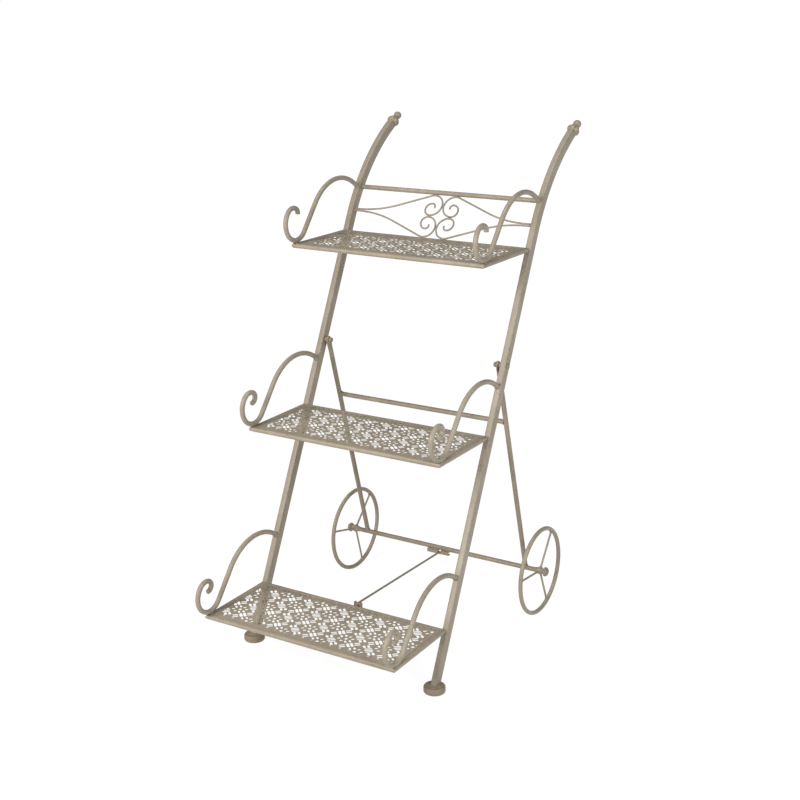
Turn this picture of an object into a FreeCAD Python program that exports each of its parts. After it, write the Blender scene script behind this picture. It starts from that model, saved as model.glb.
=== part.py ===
import FreeCAD, Part
import math
import os
import re

import Sketcher

# A folding flower cart stand: two leaning uprights carry three punched shelves one above the
# other, each held by a pair of scrolled arms. A hinged pair of rear legs ends in an axle with
# two open wheels, and a thin stay rod hooks the axle to the bottom shelf.
#
# Millimetres, +Z up, the front faces -Y. The origin is on the ground in the middle of the
# stand's width and depth. In the comments "axis line" is the leaning line on which the
# uprights are centred; it meets the ground midway between the feet.

document = FreeCAD.newDocument("FlowerCart")
sheet = document.addObject("Spreadsheet::Sheet", "Sizes")

SIZES = [
    # uprights
    ("lean_angle", 25.6, "uprights from vertical, degrees"),
    ("upright_spacing", 433.0, "between the centre planes of the two uprights"),
    ("upright_width", 13.0, "flat tube, across the stand"),
    ("upright_depth", 20.0, "flat tube, fore and aft"),
    ("upright_corner", 1.5, "cut corners of the flat tube"),
    ("upright_wall", 1.5, "wall of the flat tube"),
    ("bend_height", 826.0, "where the uprights begin to bend back"),
    ("bend_radius", 420.0, "centre line of the bend"),
    ("bend_end_angle", 60.0, "end of the bend from vertical, degrees"),
    # feet and finials
    ("foot_diameter", 43.0, "round foot"),
    ("foot_height", 18.0, "round foot"),
    ("foot_shoulder", 5.0, "sloping top edge of the foot"),
    ("foot_forward", 6.0, "foot centre in front of the tube's centre"),
    ("crown_diameter", 27.0, "crown of the finial"),
    ("crown_height", 20.0, "crown from the tube's end"),
    ("ball_diameter", 17.0, "ball of the finial"),
    ("ball_seat", 29.0, "ball centre from the tube's end"),
    # shelves
    ("rod_diameter", 10.0, "rims, arms, legs, bars and axle"),
    ("shelf_width", 430.0, "between the side rods' centre lines"),
    ("shelf_depth", 178.0, "between the front and back rods' centre lines"),
    ("shelf_spacing", 343.0, "from one shelf to the next"),
    ("shelf_height", 112.0, "bottom shelf's rods above the ground"),
    ("panel_thickness", 1.5, "punched sheet"),
    ("panel_height", 4.0, "top of the sheet above the rods' centre lines"),
    ("panel_columns", 5, "pairs of slot groups across the sheet"),
    ("panel_rows", 2, "pairs of slot groups along the sheet"),
    ("group_pitch_across", 40.2, "from one slot group to the next"),
    ("group_pitch_along", 34.7, "from one row of groups to the next"),
    ("slot_length", 20.0, "punched slot"),
    ("slot_width", 6.0, "punched slot"),
    ("slot_pitch", 11.0, "between the slots of a group"),
    ("slot_angle", 41.0, "slots from the shelf's width, degrees"),
    # arms
    ("hump_radius", 110.0, "upper bow of the arm"),
    ("hump_back", 160.0, "bow centre behind the front rod"),
    ("hump_rise", 6.0, "bow centre above the rods"),
    ("arm_top", 94.0, "arm meets the upright this far above the rods"),
    ("curl_radius", 35.0, "lower curl of the arm"),
    ("curl_back", 5.0, "curl centre behind the front rod"),
    ("scroll_radius", 23.0, "second turn of the arm's scroll"),
    ("scroll_turn", 47.0, "direction where the second turn begins, degrees"),
    ("eye_radius", 11.0, "last turn of the arm's scroll"),
    ("eye_turn", -25.0, "direction where the last turn begins, degrees"),
    ("eye_end", -180.0, "direction where the lower arms end, degrees"),
    ("top_eye_end", -95.0, "direction where the top arms end, degrees"),
    # top bar and scrolled wires
    ("bar_height", 886.0, "top bar above the ground"),
    ("wire_diameter", 3.8, "scrolled back wires"),
    ("wire_straight", 15.0, "straight start of a wire at the upright"),
    ("wire_sweep", 250.0, "gentle bow of a wire"),
    ("wire_curl", 13.5, "inner turn of a wire"),
    ("wire_hook", 7.0, "last turn of a wire"),
    ("wire_gap", 0.6, "between the upper and lower wires at the uprights"),
    # rear legs
    ("pivot_height", 583.0, "leg hinge above the ground"),
    ("leg_spacing", 404.0, "between the centre planes of the legs"),
    ("leg_angle", 15.93, "legs from vertical, degrees"),
    ("crossbar_distance", 134.0, "hinge to crossbar"),
    ("eye_diameter", 16.0, "flattened top of a leg"),
    ("eye_thickness", 6.0, "flattened top of a leg"),
    ("bolt_diameter", 6.0, "hinge bolt"),
    ("bolt_head", 12.0, "hinge bolt head and nut"),
    ("bolt_head_height", 3.5, "hinge bolt head"),
    ("nut_height", 5.0, "hinge bolt nut"),
    ("running_clearance", 0.06, "radial, at everything that turns"),
    ("side_clearance", 0.3, "endwise, at everything that turns"),
    # wheels
    ("wheel_radius", 96.5, "outside of the wheel"),
    ("ring_diameter", 9.0, "rod of the wheel's ring"),
    ("wheel_spacing", 472.0, "between the wheels' centre planes"),
    ("hub_diameter", 15.0, "hub of a wheel"),
    ("hub_length", 21.0, "hub of a wheel"),
    ("spoke_diameter", 4.4, "wheel spokes"),
    ("spoke_count", 3, "wheel spokes"),
    ("left_spoke_angle", 46.0, "first spoke of the left wheel, degrees"),
    ("right_spoke_angle", 54.0, "first spoke of the right wheel, degrees"),
    ("journal_diameter", 8.0, "turned down ends of the axle"),
    ("cap_diameter", 20.0, "domed caps on the axle's ends"),
    ("cap_height", 9.0, "domed caps on the axle's ends"),
    ("cap_depth", 4.0, "how far the axle enters a cap"),
    # stay
    ("stay_diameter", 4.4, "stay rod"),
    ("stay_height", 122.0, "stay rod above the ground at its hook"),
    ("hook_drop", 4.5, "end of the hook below the rod's centre line"),
    ("hook_gap", 1.0, "hook in front of its bracket"),
    ("stay_bracket_place", 17.0, "bracket to the right of the middle"),
    ("stay_hinge_place", -5.5, "stay's hinge end to the right of the middle"),
    ("pin_length", 24.0, "bent end of the stay inside the channel"),
    ("bracket_width", 19.0, "notched plate on the bottom shelf"),
    ("bracket_thickness", 2.5, "notched plate on the bottom shelf"),
    ("bracket_rise", 12.5, "top of the plate above the rods' centre lines"),
    ("notch_width", 7.0, "notch of the plate, under the stay rod"),
    ("channel_length", 54.0, "folded channel on the axle"),
    ("channel_place", -9.0, "channel's middle to the right of the stand's middle"),
    ("channel_wall", 1.5, "folded channel"),
    ("channel_front", 14.0, "channel's face in front of the axle's centre line"),
    ("channel_drop", 5.5, "pin below the axle's centre line"),
    ("pin_clearance", 0.3, "round the pin and the rod in the channel"),
]
for row, (name, size, meaning) in enumerate(SIZES, start=1):
    sheet.set(f"A{row}", name)
    sheet.set(f"B{row}", str(size))
    sheet.setAlias(f"B{row}", name)
    sheet.set(f"C{row}", meaning)
document.recompute()
names = [name for name, _, _ in SIZES]


def derive(name, expression, meaning):
    """A cell that works out a further value from the sizes."""
    names.append(name)
    row = len(names)
    sheet.set(f"A{row}", name)
    sheet.set(f"B{row}", "=" + expression)
    sheet.setAlias(f"B{row}", name)
    sheet.set(f"C{row}", meaning)
    document.recompute()




def linked(expression):
    """An expression over the sheet's names, as other objects of the document write it."""
    return re.sub(r"\b(" + "|".join(names) + r")\b", r"Sizes.\1", str(expression))


def value(expression):
    """An expression over the sheet's names as a plain number."""
    result = sheet.evalExpression(linked(expression))
    return float(getattr(result, "Value", result))


# Places that several pieces share, as expressions over the sizes. Distances along Y are from
# the point where the axis line meets the ground.
UPRIGHT_INSIDE = "((upright_spacing - upright_width) / 2)"
UPRIGHT_OUTSIDE = "((upright_spacing + upright_width) / 2)"
SHELF_LEVELS = {
    "bottom": "shelf_height",
    "middle": "(shelf_height + shelf_spacing)",
    "top": "(shelf_height + 2 * shelf_spacing)",
}


def axis_y(height):
    """The axis line at a height, below the bend."""
    return f"(tan(lean_angle) * {height})"


def back_rod_y(level):
    """Centre of a shelf's back rod, which touches the front of the uprights."""
    return f"({axis_y(level)} - (upright_depth + rod_diameter) / 2 / cos(lean_angle))"


def front_rod_y(level):
    """Centre of a shelf's front rod."""
    return f"({back_rod_y(level)} - shelf_depth)"


BEND_CENTRE_Y = f"({axis_y('bend_height')} + bend_radius * cos(lean_angle))"
BEND_CENTRE_Z = "(bend_height - bend_radius * sin(lean_angle))"
TUBE_END_Y = f"({BEND_CENTRE_Y} - bend_radius * cos(bend_end_angle))"
TUBE_END_Z = f"({BEND_CENTRE_Z} + bend_radius * sin(bend_end_angle))"
BAR_Y = f"({BEND_CENTRE_Y} - sqrt(pow(bend_radius; 2) - pow(bar_height - {BEND_CENTRE_Z}; 2)))"
TOP_BACK_Y = back_rod_y(SHELF_LEVELS["top"])
SCROLL_RUN = f"({BAR_Y} - {TOP_BACK_Y})"
SCROLL_RISE = f"(bar_height - {SHELF_LEVELS['top']})"
PIVOT_Y = axis_y("pivot_height")
LEG_LENGTH = "((pivot_height - wheel_radius) / cos(leg_angle))"
AXLE_Y = f"({PIVOT_Y} + {LEG_LENGTH} * sin(leg_angle))"
AXLE_Z = "wheel_radius"
HUB_INSIDE = "((wheel_spacing - hub_length) / 2)"
HUB_OUTSIDE = "((wheel_spacing + hub_length) / 2)"
STAY_HINGE_Y = f"({AXLE_Y} - channel_front + channel_wall + pin_clearance + stay_diameter / 2)"
STAY_HINGE_Z = f"({AXLE_Z} - channel_drop)"
BRACKET_FRONT_Y = f"({back_rod_y('shelf_height')} + rod_diameter / 2)"

# The front end of the stand is the bottom arms' curl and its rear end is the finials' balls.
FRONT_END = f"({front_rod_y('shelf_height')} + curl_back - curl_radius - rod_diameter / 2)"
REAR_END = f"({TUBE_END_Y} + ball_seat * sin(bend_end_angle) + ball_diameter / 2)"
GROUND_Y = f"(-({FRONT_END} + {REAR_END}) / 2)"



def tangent_normal(across, up, radii, side):
    """Degrees of the normal of the line that crosses between two circles so far apart."""
    apart = f"sqrt(pow({across}; 2) + pow({up}; 2))"
    return f"(atan2({up}; {across}) {side} acos({radii} / {apart})) / 1deg"


derive("arm_start", "asin((arm_top - rod_diameter - hump_rise) / hump_radius) / 1deg",
       "direction where the arm meets the upright")
derive("arm_leave", tangent_normal("(curl_back - hump_back)",
                                   "(rod_diameter + curl_radius - hump_rise)",
                                   "(hump_radius + curl_radius)", "-"),
       "direction where the arm's bow ends")
derive("scroll_across", "curl_back - (curl_radius - scroll_radius) * sin(scroll_turn)",
       "centre of the arm's second turn, behind the front rod")
derive("scroll_up", "rod_diameter + curl_radius + (curl_radius - scroll_radius) * cos(scroll_turn)",
       "centre of the arm's second turn, above the rods")
derive("eye_across", "scroll_across - (scroll_radius - eye_radius) * sin(eye_turn)",
       "centre of the arm's last turn, behind the front rod")
derive("eye_up", "scroll_up + (scroll_radius - eye_radius) * cos(eye_turn)",
       "centre of the arm's last turn, above the rods")
derive("wire_inside", "wire_diameter / 2 + wire_gap / 8", "wire centre from the mirror lines")
derive("wire_space", f"sqrt(pow({SCROLL_RUN}; 2) + pow({SCROLL_RISE}; 2)) / 2",
       "half of the space between the top bar and the top shelf's back rod")
derive("wire_turn", "(wire_space - rod_diameter / 2 - wire_diameter / 2 - wire_inside) / 2",
       "outer turn of a wire")
derive("wire_centre", "wire_inside + wire_turn", "centre of a wire's outer turn")
derive("wire_level", "(wire_diameter + wire_gap) / 2", "wire from the mirror line at the upright")
derive("wire_bow", f"{UPRIGHT_INSIDE} - wire_straight", "where a wire begins to bow")
derive("wire_leave", tangent_normal("(wire_centre - wire_bow)",
                                    "(wire_centre - wire_level - wire_sweep)",
                                    "(wire_sweep + wire_turn)", "+") + " + 360",
       "direction where a wire's bow ends")

# Bent rods and wires are drawn with this many flats, across the rod's diameter, and their
# bows with short straight steps. The wheels' rings have an odd number of steps, so that a
# corner stands on the ground when a side is at the top.
ROD_FLATS = 8
WIRE_FLATS = 6
RING_STEPS = 41
CROWN_LOBES = 6


def place(piece, across="0", along="0", height="0", tilt=None):
    """Bind where a piece stands, and how far it is tilted about the X axis."""
    if tilt is not None:
        piece.Placement.Rotation = FreeCAD.Rotation(FreeCAD.Vector(1, 0, 0), value(tilt))
        piece.setExpression("Placement.Rotation.Angle", linked(tilt))
        piece.setExpression("Placement.Rotation.Axis.x", "1")
    piece.setExpression("Placement.Base.x", linked(across))
    piece.setExpression("Placement.Base.y", linked(f"{GROUND_Y} + {along}"))
    piece.setExpression("Placement.Base.z", linked(height))


def new_body(label):
    body = document.addObject("PartDesign::Body", label)
    body.Label = label
    return body


def origin_feature(body, role):
    for feature in body.Origin.OriginFeatures:
        if feature.Role == role:
            return feature
    raise ValueError(role)


def new_sketch(body, name, plane="YZ_Plane", raised=None):
    """A sketch on one of the body's own planes, or raised above it."""
    sketch = body.newObject("Sketcher::SketchObject", name)
    sketch.AttachmentSupport = [(origin_feature(body, plane), "")]
    sketch.MapMode = "FlatFace"
    if raised is not None:
        sketch.setExpression("AttachmentOffset.Base.z", linked(raised))
    return sketch


def new_section(body, path):
    """A sketch square to the start of a path."""
    sketch = body.newObject("Sketcher::SketchObject", "Section")
    sketch.AttachmentSupport = [(path, "Edge1")]
    sketch.MapMode = "NormalToEdge"
    sketch.MapPathParameter = 0
    return sketch


def bind(sketch, kind, *arguments):
    """Add a constraint whose last argument is an expression over the sizes."""
    *where, expression = arguments
    index = sketch.addConstraint(Sketcher.Constraint(kind, *where, value(expression)))
    sketch.setExpression(f"Constraints[{index}]", linked(expression))


def pin_point(sketch, geometry, point, across, up):
    bind(sketch, "DistanceX", -1, 1, geometry, point, across)
    bind(sketch, "DistanceY", -1, 1, geometry, point, up)


def vector(across, up):
    return FreeCAD.Vector(value(across), value(up), 0)


def draw_polygon(sketch, corners):
    """A closed outline through corners that are pairs of expressions."""
    first = sketch.GeometryCount
    count = len(corners)
    for index in range(count):
        start = vector(*corners[index])
        end = vector(*corners[(index + 1) % count])
        sketch.addGeometry(Part.LineSegment(start, end))
    for index in range(count):
        following = first + (index + 1) % count
        sketch.addConstraint(Sketcher.Constraint("Coincident", first + index, 2, following, 1))
        pin_point(sketch, first + index, 1, *corners[index])


def draw_circle(sketch, across, up, radius):
    circle = Part.Circle(vector(across, up), FreeCAD.Vector(0, 0, 1), value(radius))
    index = sketch.addGeometry(circle)
    pin_point(sketch, index, 3, across, up)
    bind(sketch, "Radius", index, radius)


def draw_flats(sketch, diameter, flats, across="0", up="0"):
    """A regular outline whose flats lie across the given diameter."""
    half = 180 / flats
    corners = []
    for index in range(flats):
        angle = half + index * 2 * half
        reach = f"{diameter} / 2 / cos({half})"
        corners.append((f"{across} + {reach} * cos({angle})", f"{up} + {reach} * sin({angle})"))
    draw_polygon(sketch, corners)


def draw_chain(sketch, corners):
    """A line through corners that are pairs of expressions, open at its ends."""
    for index, (start, end) in enumerate(zip(corners, corners[1:])):
        line = sketch.addGeometry(Part.LineSegment(vector(*start), vector(*end)))
        if index:
            sketch.addConstraint(Sketcher.Constraint("Coincident", line - 1, 2, line, 1))
        pin_point(sketch, line, 1, *start)
    pin_point(sketch, line, 2, *corners[-1])


def bow_corners(across, up, radius, start, end, steps):
    """Corners on an arc between two directions in degrees, as expressions."""
    corners = []
    for step in range(steps + 1):
        turn = f"({start} + ({end} - {start}) * {step} / {steps})"
        corners.append((f"{across} + {radius} * cos({turn})", f"{up} + {radius} * sin({turn})"))
    return corners


def draw_tube_section(sketch, width, depth, chamfer):
    """A rectangle with cut corners about the sketch's origin."""
    wide = f"({width} / 2)"
    deep = f"({depth} / 2)"
    draw_polygon(sketch, [
        (f"{wide} - {chamfer}", f"-{deep}"), (wide, f"-{deep} + {chamfer}"),
        (wide, f"{deep} - {chamfer}"), (f"{wide} - {chamfer}", deep),
        (f"-{wide} + {chamfer}", deep), (f"-{wide}", f"{deep} - {chamfer}"),
        (f"-{wide}", f"-{deep} + {chamfer}"), (f"-{wide} + {chamfer}", f"-{deep}")])


def add_pad(body, sketch, length, name="Pad", both_ways=False):
    pad = body.newObject("PartDesign::Pad", name)
    pad.Profile = sketch
    pad.setExpression("Length", linked(length))
    pad.Midplane = both_ways
    return pad


def cut_through(body, name, draw, plane="YZ_Plane", raised=None, length=None):
    """Cut an outline out of a body, both ways from the outline's plane."""
    sketch = new_sketch(body, name + "Outline", plane, raised)
    draw(sketch)
    document.recompute()
    before = body.Shape.Volume
    pocket = body.newObject("PartDesign::Pocket", name)
    pocket.Profile = sketch
    pocket.Midplane = True
    if length is None:
        pocket.Type = "ThroughAll"
    else:
        pocket.setExpression("Length", linked(length))
    document.recompute()
    if body.Shape.Volume >= before:
        raise RuntimeError(f"{body.Label} {name} cuts nothing")
    return pocket


def add_revolution(body, corners, axis="H_Axis", plane="XZ_Plane"):
    """Turn a closed outline through a full circle about a sketch axis."""
    sketch = new_sketch(body, "Profile", plane)
    draw_polygon(sketch, corners)
    turned = body.newObject("PartDesign::Revolution", "Turned")
    turned.Profile = sketch
    turned.ReferenceAxis = (sketch, [axis])
    turned.Angle = 360
    return turned


def add_pipe(body, path, section, corners="Transformed"):
    pipe = body.newObject("PartDesign::AdditivePipe", "Rod")
    pipe.Profile = section
    pipe.Spine = (path, [f"Edge{index + 1}" for index in range(path.GeometryCount)])
    pipe.Transition = corners
    return pipe


def arc_between(centre, radius, start, end):
    """An arc that runs anticlockwise between two directions in degrees."""
    circle = Part.Circle(centre, FreeCAD.Vector(0, 0, 1), radius)
    return Part.ArcOfCircle(circle, math.radians(start), math.radians(end))


def join(sketch, first, first_point, second, second_point):
    constraint = Sketcher.Constraint("Tangent", first, first_point, second, second_point)
    sketch.addConstraint(constraint)


def mirrored(source, label):
    """The same piece on the other side of the stand."""
    mirror = document.addObject("Part::Mirroring", label)
    mirror.Source = source
    mirror.Normal = FreeCAD.Vector(1, 0, 0)
    mirror.Label = label
    return mirror


def paired(pieces, label):
    compound = document.addObject("Part::Compound", label)
    compound.Links = pieces
    compound.Label = label
    return compound


nodes = []


def build_upright():
    """Flat tube from the foot to the finial, bent back above the top shelf."""
    body = new_body("upright_right")
    length = "(bend_height / cos(lean_angle))"
    path = new_sketch(body, "Path")
    straight = Part.LineSegment(FreeCAD.Vector(0, 0, 0), vector("0", length))
    path.addGeometry(straight)
    turn = value("bend_end_angle - lean_angle")
    centre = vector("bend_radius", length)
    path.addGeometry(arc_between(centre, value("bend_radius"), 180 - turn, 180))
    pin_point(path, 0, 1, "0", "0")
    pin_point(path, 0, 2, "0", length)
    join(path, 0, 2, 1, 2)
    bind(path, "Radius", 1, "bend_radius")
    rise = f"{length} + bend_radius * sin(bend_end_angle - lean_angle)"
    bind(path, "DistanceY", -1, 1, 1, 1, rise)
    section = new_sketch(body, "Section", "XY_Plane")
    draw_tube_section(section, "upright_width", "upright_depth", "upright_corner")
    wide = "(upright_width / 2 - upright_wall)"
    deep = "(upright_depth / 2 - upright_wall)"
    draw_polygon(section, [
        (wide, f"-{deep}"), (wide, deep), (f"-{wide}", deep), (f"-{wide}", f"-{deep}")])
    add_pipe(body, path, section)
    document.recompute()

    def below_the_foot(sketch):
        half = "(upright_depth)"
        front = f"(foot_height - sin(lean_angle) * {half}) / cos(lean_angle)"
        back = f"(foot_height + sin(lean_angle) * {half}) / cos(lean_angle)"
        corners = [(f"-{half}", front), (half, back), (half, "-foot_height")]
        draw_polygon(sketch, corners + [(f"-{half}", "-foot_height")])

    cut_through(body, "FootCut", below_the_foot)
    up_the_tube = "pivot_height / cos(lean_angle)"
    cut_through(body, "BoltHole", lambda sketch: draw_circle(
        sketch, "0", up_the_tube, "bolt_diameter / 2 + running_clearance"))
    place(body, "upright_spacing / 2", tilt="-lean_angle")
    return body


def build_foot():
    """Round foot with a sloping shoulder, under the leaning tube."""
    body = new_body("foot_right")
    outside = "foot_diameter / 2"
    corners = [
        ("0", "0"), (outside, "0"), (outside, "foot_height - foot_shoulder"),
        (f"{outside} - foot_shoulder * 0.6", "foot_height"), ("0", "foot_height"),
    ]
    add_revolution(body, corners, "V_Axis")
    along = f"{axis_y('foot_height')} - foot_forward"
    place(body, "upright_spacing / 2", along)
    return body


def build_finial():
    """Lobed crown with a ball, on the bent end of the tube."""
    body = new_body("finial_right")
    crown = "crown_diameter / 2"
    ball = "ball_diameter / 2"
    neck = "(ball_diameter / 4)"
    meet = f"ball_seat - sqrt(pow({ball}; 2) - pow({neck}; 2))"
    sections = []
    for height, share in (("0", 0.75), ("crown_height * 0.4", 1.0), ("crown_height", 0.5)):
        section = new_sketch(body, "CrownSection", "XY_Plane", height)
        corners = []
        for corner in range(2 * CROWN_LOBES):
            angle = 180 * corner / CROWN_LOBES
            reach = f"{crown} * {share} * {1.0 if corner % 2 else 0.84}"
            corners.append((f"{reach} * cos({angle})", f"{reach} * sin({angle})"))
        draw_polygon(section, corners)
        sections.append(section)
    document.recompute()
    loft = body.newObject("PartDesign::AdditiveLoft", "Crown")
    loft.Profile = sections[0]
    loft.Sections = sections[1:]
    loft.Ruled = True
    document.recompute()
    add_revolution(body, [
        ("0", f"ball_seat + {ball}"), ("0", "crown_height / 2"), (neck, "crown_height / 2"),
        (neck, meet), (ball, "ball_seat"),
        (f"{ball} * cos(45)", f"ball_seat + {ball} * sin(45)")], "V_Axis")
    place(body, "upright_spacing / 2", TUBE_END_Y, TUBE_END_Z, "-bend_end_angle")
    return body


def build_rim(name):
    """Four rods mitred into a frame, lying against the front of the uprights."""
    level = SHELF_LEVELS[name]
    body = new_body(f"shelf_rim_{name}")
    wide = "shelf_width / 2"
    deep = "shelf_depth / 2"
    corners = [
        ("0", f"-{deep}"), (wide, f"-{deep}"), (wide, deep),
        (f"-{wide}", deep), (f"-{wide}", f"-{deep}"),
    ]
    path = new_sketch(body, "Path", "XY_Plane")
    draw_polygon(path, corners)
    section = new_sketch(body, "Section")
    draw_circle(section, f"-{deep}", "0", "rod_diameter / 2")
    document.recompute()
    add_pipe(body, path, section, "Right corner")
    place(body, "0", f"{back_rod_y(level)} - {deep}", level)
    return body


def draw_slot_groups(sketch):
    """Two groups of two slots, the second half a pitch across and one row further back."""
    left = "(-(panel_columns - 0.5) * group_pitch_across)"
    front = "(-(panel_rows - 0.5) * group_pitch_along)"
    for shift in (0, 1):
        for step in (-0.5, 0.5):
            across = (f"({left} + {shift} * group_pitch_across"
                      f" - {step} * slot_pitch * sin(slot_angle))")
            up = f"({front} + {shift} * group_pitch_along + {step} * slot_pitch * cos(slot_angle))"
            corners = []
            for end, side in ((-1, -1), (1, -1), (1, 1), (-1, 1)):
                run = f"{end} * slot_length / 2"
                rise = f"{side} * slot_width / 2"
                corners.append((
                    f"{across} + {run} * cos(slot_angle) - {rise} * sin(slot_angle)",
                    f"{up} + {run} * sin(slot_angle) + {rise} * cos(slot_angle)"))
            draw_polygon(sketch, corners)


def build_panel(name):
    """Punched sheet inside the rim, a little below the top of the rods."""
    level = SHELF_LEVELS[name]
    body = new_body(f"shelf_panel_{name}")
    seat = "sqrt(pow(rod_diameter / 2; 2) - pow(panel_height - panel_thickness; 2))"
    wide = f"(shelf_width / 2 - {seat})"
    deep = f"(shelf_depth / 2 - {seat})"
    sheet_outline = new_sketch(body, "SheetOutline", "XY_Plane")
    draw_polygon(sheet_outline, [
        (f"-{wide}", f"-{deep}"), (wide, f"-{deep}"), (wide, deep), (f"-{wide}", deep)])
    add_pad(body, sheet_outline, "panel_thickness", "PunchedSheet")
    document.recompute()
    slots = cut_through(body, "Slots", draw_slot_groups, "XY_Plane")
    across = body.newObject("PartDesign::LinearPattern", "Across")
    across.Direction = (origin_feature(body, "X_Axis"), [""])
    across.setExpression("Length", linked("2 * group_pitch_across * (panel_columns - 1)"))
    across.setExpression("Occurrences", linked("panel_columns"))
    along = body.newObject("PartDesign::LinearPattern", "Along")
    along.Direction = (origin_feature(body, "Y_Axis"), [""])
    along.setExpression("Length", linked("2 * group_pitch_along * (panel_rows - 1)"))
    along.setExpression("Occurrences", linked("panel_rows"))
    pattern = body.newObject("PartDesign::MultiTransform", "Pattern")
    pattern.Originals = [slots]
    pattern.Transformations = [across, along]
    body.Tip = pattern
    along_y = f"{back_rod_y(level)} - shelf_depth / 2"
    place(body, "0", along_y, f"{level} + panel_height - panel_thickness")
    return body


def draw_arm_path(sketch, end_angle):
    """Bow, straight and three tightening turns, drawn from the upright to the scroll's eye."""
    curl_up = "(rod_diameter + curl_radius)"
    corners = bow_corners("hump_back", "hump_rise", "hump_radius", "arm_start", "arm_leave", 8)
    corners += bow_corners("curl_back", curl_up, "curl_radius", "(arm_leave + 180)", "270", 3)
    corners += bow_corners("curl_back", curl_up, "curl_radius", "270", "(scroll_turn + 90)", 5)[1:]
    corners += bow_corners("scroll_across", "scroll_up", "scroll_radius",
                           "(scroll_turn + 90)", "(eye_turn + 90)", 3)[1:]
    corners += bow_corners("eye_across", "eye_up", "eye_radius",
                           "(eye_turn + 90)", f"({end_angle} + 90)", 5)[1:]
    draw_chain(sketch, corners)


def build_arm(name):
    """Scrolled rod from the front of an upright down to the shelf's side rod."""
    level = SHELF_LEVELS[name]
    body = new_body(f"arm_{name}_right")
    path = new_sketch(body, "Path")
    draw_arm_path(path, "top_eye_end" if name == "top" else "eye_end")
    document.recompute()
    section = new_section(body, path)
    draw_flats(section, "rod_diameter", ROD_FLATS)
    document.recompute()
    add_pipe(body, path, section, "Right corner")
    document.recompute()

    def straight_face(sketch):
        low = "(arm_top - hump_radius / 2)"
        high = "(arm_top + hump_radius / 2)"
        face = "(shelf_depth + rod_diameter / 2 / cos(lean_angle))"
        reach = "hump_radius / 2"
        draw_polygon(sketch, [
            (f"{face} + tan(lean_angle) * {low}", low),
            (f"{face} + tan(lean_angle) * {low} + {reach}", low),
            (f"{face} + tan(lean_angle) * {high} + {reach}", high),
            (f"{face} + tan(lean_angle) * {high}", high)])

    def bent_face(sketch):
        across = f"{BEND_CENTRE_Y} - {front_rod_y(level)}"
        up = f"{BEND_CENTRE_Z} - {level}"
        draw_circle(sketch, across, up, "bend_radius + upright_depth / 2")

    cut_through(body, "UprightFace", bent_face if name == "top" else straight_face)
    place(body, "shelf_width / 2", front_rod_y(level), level)
    return body


def build_cross_rod(label, length, along, height):
    """A straight rod across the stand."""
    rod = document.addObject("Part::Cylinder", label)
    rod.Label = label
    rod.Placement.Rotation = FreeCAD.Rotation(FreeCAD.Vector(0, 1, 0), 90)
    rod.setExpression("Radius", linked("rod_diameter / 2"))
    rod.setExpression("Height", linked(length))
    rod.setExpression("Placement.Base.x", linked(f"-({length}) / 2"))
    rod.setExpression("Placement.Base.y", linked(f"{GROUND_Y} + {along}"))
    rod.setExpression("Placement.Base.z", linked(height))
    return rod


def build_back_wires():
    """Four scrolled wires between the top bar and the top shelf, each way from the middle."""
    body = new_body("upper_right_wire")
    path = new_sketch(body, "Path", "XZ_Plane")
    corners = [(UPRIGHT_INSIDE, "wire_level")]
    corners += bow_corners("wire_bow", "(wire_level + wire_sweep)", "wire_sweep",
                           "270", "wire_leave", 3)
    corners += bow_corners("wire_centre", "wire_centre", "wire_turn",
                           "(wire_leave - 180)", "90", 2)
    corners += bow_corners("wire_centre", "wire_centre", "wire_turn", "90", "270", 6)[1:]
    corners += bow_corners("wire_centre", "(wire_inside + wire_curl)", "wire_curl",
                           "-90", "90", 5)[1:]
    corners += bow_corners("wire_centre", "(wire_inside + 2 * wire_curl - wire_hook)",
                           "wire_hook", "90", "200", 3)[1:]
    draw_chain(path, corners)
    document.recompute()
    section = new_section(body, path)
    draw_flats(section, "wire_diameter", WIRE_FLATS)
    document.recompute()
    add_pipe(body, path, section, "Right corner")
    document.recompute()
    upper_left = mirrored(body, "upper_left_wire")
    lower = []
    for source in (body, upper_left):
        flipped = document.addObject("Part::Mirroring", source.Label.replace("upper", "lower"))
        flipped.Source = source
        flipped.Normal = FreeCAD.Vector(0, 0, 1)
        lower.append(flipped)
    wires = paired([body, upper_left] + lower, "back_scrolls")
    place(wires, "0", f"{BAR_Y} - {SCROLL_RUN} / 2", f"bar_height - {SCROLL_RISE} / 2",
          f"-atan({SCROLL_RUN} / {SCROLL_RISE})")
    return wires


def build_hinge_bolt():
    """Bolt through the upright with a collar that spaces the leg off, and its nut."""
    body = new_body("hinge_bolt_right")
    leg_out = "((leg_spacing + eye_thickness) / 2 + side_clearance)"
    leg_in = "((leg_spacing - eye_thickness) / 2 - side_clearance)"
    shank = new_sketch(body, "ShankOutline", "YZ_Plane", f"{leg_in} - nut_height")
    draw_circle(shank, "0", "0", "bolt_diameter / 2")
    add_pad(body, shank, f"{UPRIGHT_OUTSIDE} + bolt_head_height - {leg_in} + nut_height", "Shank")
    for name, start, end, diameter, flats in (
            ("Nut", f"{leg_in} - nut_height", leg_in, "bolt_head * 0.9", 6),
            ("Collar", leg_out, UPRIGHT_INSIDE, "bolt_head * 0.9", 8),
            ("Head", UPRIGHT_OUTSIDE, f"({UPRIGHT_OUTSIDE} + bolt_head_height)", "bolt_head", 8)):
        outline = new_sketch(body, name + "Outline", "YZ_Plane", start)
        draw_flats(outline, diameter, flats)
        document.recompute()
        add_pad(body, outline, f"{end} - ({start})", name)
    place(body, "0", PIVOT_Y, "pivot_height")
    return body


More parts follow.
